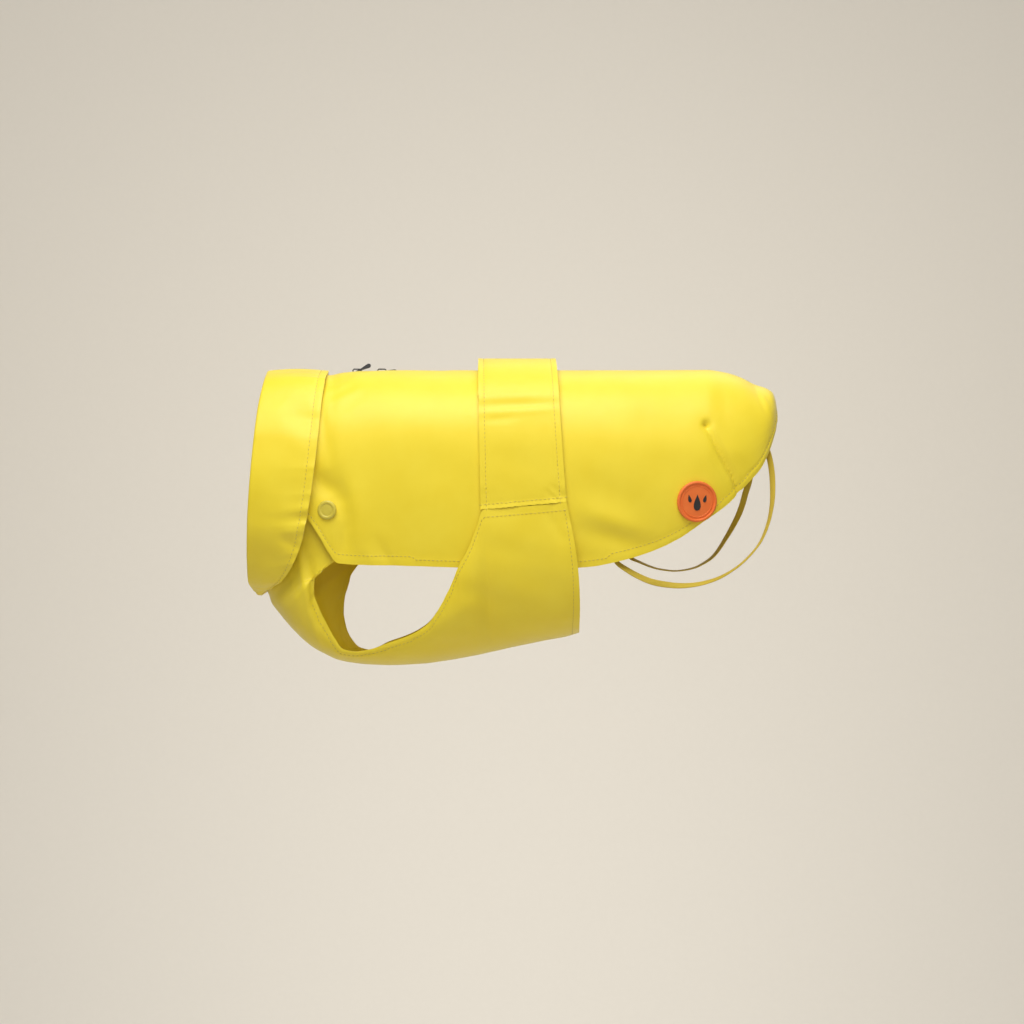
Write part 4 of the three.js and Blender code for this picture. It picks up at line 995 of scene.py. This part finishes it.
def make_badge():
    sides = 72
    rings = [[on_badge(BADGE_RADIUS * r * math.cos(2 * math.pi * k / sides),
                       BADGE_RADIUS * r * math.sin(2 * math.pi * k / sides), rise)
              for k in range(sides)] for r, rise in BADGE_PROFILE[1:]]
    points = [on_badge(0, 0, BADGE_PROFILE[0][1]), on_badge(0, 0, 0.35)]
    points += [p for ring in rings for p in ring]
    faces = disc_faces(len(rings), sides)
    # the thin dark ring lies between the fifth and eighth rings out
    inks = [int(5 <= n % (len(rings) + 1) <= 7) for n in range(len(faces))]
    patch = closed_piece("rubber_patch", points, faces, crease=40)
    patch.data.polygons.foreach_set("material_index", inks)
    paint(patch, RUBBER, INK)
    place(patch, "patch_rubber", ["rubber_badge", "rubber_badge_rim"])
    make_drops()


def make_drops():
    """The patch's motif: three raised raindrops, one large and two small."""
    points, faces = [], []
    for middle_u, middle_v, size, lean in ((0, -0.6, 5.6, 0.0), (-5.6, 2.2, 2.7, 0.25),
                                           (5.6, 2.2, 2.7, -0.25)):
        count = 40
        outline = []
        for k in range(count):
            angle = 2 * math.pi * k / count
            u = 0.62 * size * math.sin(angle) * math.sin(angle / 2) ** 1.4
            v = size * math.cos(angle)
            outline.append((middle_u + u * math.cos(lean) - v * math.sin(lean),
                            middle_v + u * math.sin(lean) + v * math.cos(lean)))
        start = len(points)
        for rise, shrink in ((1.25, 1.0), (1.6, 1.0), (1.7, 0.93)):
            points += [on_badge(middle_u + (u - middle_u) * shrink,
                                middle_v + (v - middle_v) * shrink, rise) for u, v in outline]
        points += [on_badge(middle_u, middle_v, 1.25), on_badge(middle_u, middle_v, 1.7)]
        low, high = start + 3 * count, start + 3 * count + 1
        for k in range(count):
            n = (k + 1) % count
            for level in (0, 1):
                a, b = start + level * count, start + (level + 1) * count
                faces.append((a + k, a + n, b + n, b + k))
            faces.append((start + 2 * count + k, start + 2 * count + n, high))
            faces.append((start + n, start + k, low))
    drops = closed_piece("patch_raindrops", points, faces, mend=True)
    paint(drops, INK)
    place(drops, "patch_rubber")


SNAP_PROFILE = ((0.0, 1.55), (1.6, 1.6), (3.2, 1.62), (3.9, 1.5), (4.2, 1.5), (4.5, 1.85),
                (5.0, 2.0), (5.9, 1.9), (6.5, 1.45), (6.7, 0.9), (6.7, 0.35), (6.2, 0.1))


def make_snap(name, node, side):
    low, high = (Vector(corner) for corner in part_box(node))
    centre = (low + high) / 2
    _, normal = BACK_SURFACE.point(centre.x / MM, centre.z / MM, side, plain=True)
    seat = np.array(centre) / MM - normal * 1.1
    across = np.cross((0, 0, 1), normal)
    across /= np.linalg.norm(across)
    up = np.cross(normal, across)
    sides = 48
    points = [seat + normal * SNAP_PROFILE[0][1], seat + normal * 0.1]
    for radius, height in SNAP_PROFILE[1:]:
        for k in range(sides):
            angle = 2 * math.pi * k / sides
            ripple = 0.12 * (math.sin(12 * angle) > 0.3) if 3.0 < radius < 4.4 else 0
            points.append(seat + normal * (height + ripple)
                          + radius * (across * math.cos(angle) + up * math.sin(angle)))
    faces = disc_faces(len(SNAP_PROFILE) - 1, sides)
    cap = closed_piece(name, points, faces, crease=50)
    paint(cap, CAP)
    place(cap, "snap_cap", [node])


def make_zip():
    surface = BACK_SURFACE
    spine = BACK.at(surface.places)["spine_x"]
    rows = np.where((spine > -113) & (spine < -34))[0]
    widths = np.linspace(-7.0, 7.0, 15)
    middle, _ = back_base(surface.places[rows], widths / HALF_GIRTH)
    normals = outward(middle, (0, 0, -70))
    tape = wall_mesh("zip_tape_cloth", middle - normals * 1.75, normals, TAPE_CLOTH)
    paint(tape, TAPE, TAPE)
    place(tape, "zip_tape", ["zip_tape"])
    rail = middle[(spine[rows] > ZIP_FRONT + 1) & (spine[rows] < ZIP_BACK - 1)]
    lines = [rail[:, column] + np.array([0, 0, -0.95]) for column in (6, 8)]
    beads_on("zip_coil", lines, 1.15, (0.8, 1.9, 0.9), TAPE, "zip_tape", ["zip_teeth"])
    for node in ("zip_slider_front", "zip_slider_back", "pull_tab_front", "pull_tab_back"):
        paint(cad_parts[node], BLACK)


def smooth_route(points, steps):
    """A Catmull-Rom curve through the points."""
    points = np.array(points, float)
    padded = np.concatenate([2 * points[:1] - points[1:2], points, 2 * points[-1:] - points[-2:-1]])
    result = []
    for s in np.linspace(0, len(points) - 1, steps):
        k = min(int(s), len(points) - 2)
        t = s - k
        a, b, c, d = padded[k:k + 4]
        result.append(0.5 * (2 * b + (c - a) * t + (2 * a - 5 * b + 4 * c - d) * t**2
                             + (3 * b - a - 3 * c + d) * t**3))
    return np.array(result)


ELASTIC_WIDTH, ELASTIC_THICK = 4.4, 1.0
# how far the flat elastic is turned from lying in the plane of its loop, from front to back
ELASTIC_TWIST = {"leg_elastic_near": (30, 60, 80, 40, 12, 10, 30, 62, 70),
                 "leg_elastic_far": (55, 20, 8, 5, 12, 35, 70, 82, 75)}


def make_elastic(node):
    path = smooth_route(ELASTICS[node], 120)
    tangent = np.gradient(path, axis=0)
    tangent /= np.linalg.norm(tangent, axis=1, keepdims=True)
    twist = np.radians(np.interp(np.linspace(0, 1, len(path)),
                                 np.linspace(0, 1, len(ELASTIC_TWIST[node])), ELASTIC_TWIST[node]))
    section = [(math.copysign(abs(math.cos(a)) ** 0.5, math.cos(a)) * ELASTIC_WIDTH / 2,
                math.copysign(abs(math.sin(a)) ** 0.7, math.sin(a)) * ELASTIC_THICK / 2)
               for a in np.linspace(0, 2 * math.pi, 17)[:-1]]
    points = []
    for p, t, turn in zip(path, tangent, twist):
        sideways = np.cross(t, (0, 1, 0))
        sideways /= np.linalg.norm(sideways)
        level = np.cross(sideways, t)
        wide = level * math.cos(turn) + sideways * math.sin(turn)
        thin = np.cross(t, wide)
        points += [p + wide * w + thin * h for w, h in section]
    size = len(section)
    faces = [(i * size + k, i * size + (k + 1) % size, (i + 1) * size + (k + 1) % size,
              (i + 1) * size + k) for i in range(len(path) - 1) for k in range(size)]
    faces.append(tuple(range(size))[::-1])
    faces.append(tuple((len(path) - 1) * size + k for k in range(size)))
    braid = closed_piece(node + "_braid", points, faces, crease=60, mend=True)
    paint(braid, ELASTIC)
    place(braid, "elastic", [node])


# ---- backdrop -------------------------------------------------------------------------------------
def make_backdrop():
    """A pale floor that curves up into a plain wall behind."""
    radius, depth, front, width = 0.9, 2.6, -4.0, 8.0
    floor_z = -0.9
    profile = [(front, floor_z), (depth - radius, floor_z)]
    profile += [(depth - radius + radius * math.sin(a), floor_z + radius * (1 - math.cos(a)))
                for a in np.linspace(0, math.pi / 2, 16)[1:]]
    profile.append((depth, 4.5))
    points = [(x, y, z) for y, z in profile for x in (-width / 2, width / 2)]
    faces = [(2 * k, 2 * k + 1, 2 * k + 3, 2 * k + 2) for k in range(len(profile) - 1)]
    mesh = bpy.data.meshes.new("backdrop")
    mesh.from_pydata(points, [], faces)
    mesh.polygons.foreach_set("use_smooth", [True] * len(faces))
    backdrop = link("backdrop", mesh)
    paint(backdrop, finish_material(
        "backdrop_paper", GRAIN, {"Scale": 40.0}, (0.74, 0.70, 0.63), (0.76, 0.72, 0.65),
        (0.9, 1.0), 0.0001, 0.1))


for elastic in ELASTICS:
    make_elastic(elastic)
make_back_panel()
make_under_panel()
make_collar()
make_strap("belly_strap_near_cloth", "belly_strap_near", NEAR, TOP_RISE, 62, (
    (-14, -24, 40, -22, 1.0, 3.2), (-14, -30, 40, -27, -0.5, 2.6), (-12, -35, 10, -33, 0.4, 2.5),
    (36, -80, 44, -88, 0.7, 1.8), (32, -84, 40, -91, 0.6, 1.6), (-10, -60, 36, -66, 0.5, 9.0)), 61)
make_strap("belly_strap_far_cloth", "belly_strap_far", FAR, UNDER_RISE, 20, (
    (-10, -58, 38, -52, 0.6, 5.0), (34, -82, 43, -90, 0.7, 1.8)), 71)
make_badge()
make_snap("snap_cap_near_enamel", "snap_cap_near", NEAR)
make_snap("snap_cap_far_enamel", "snap_cap_far", FAR)
make_zip()
make_backdrop()
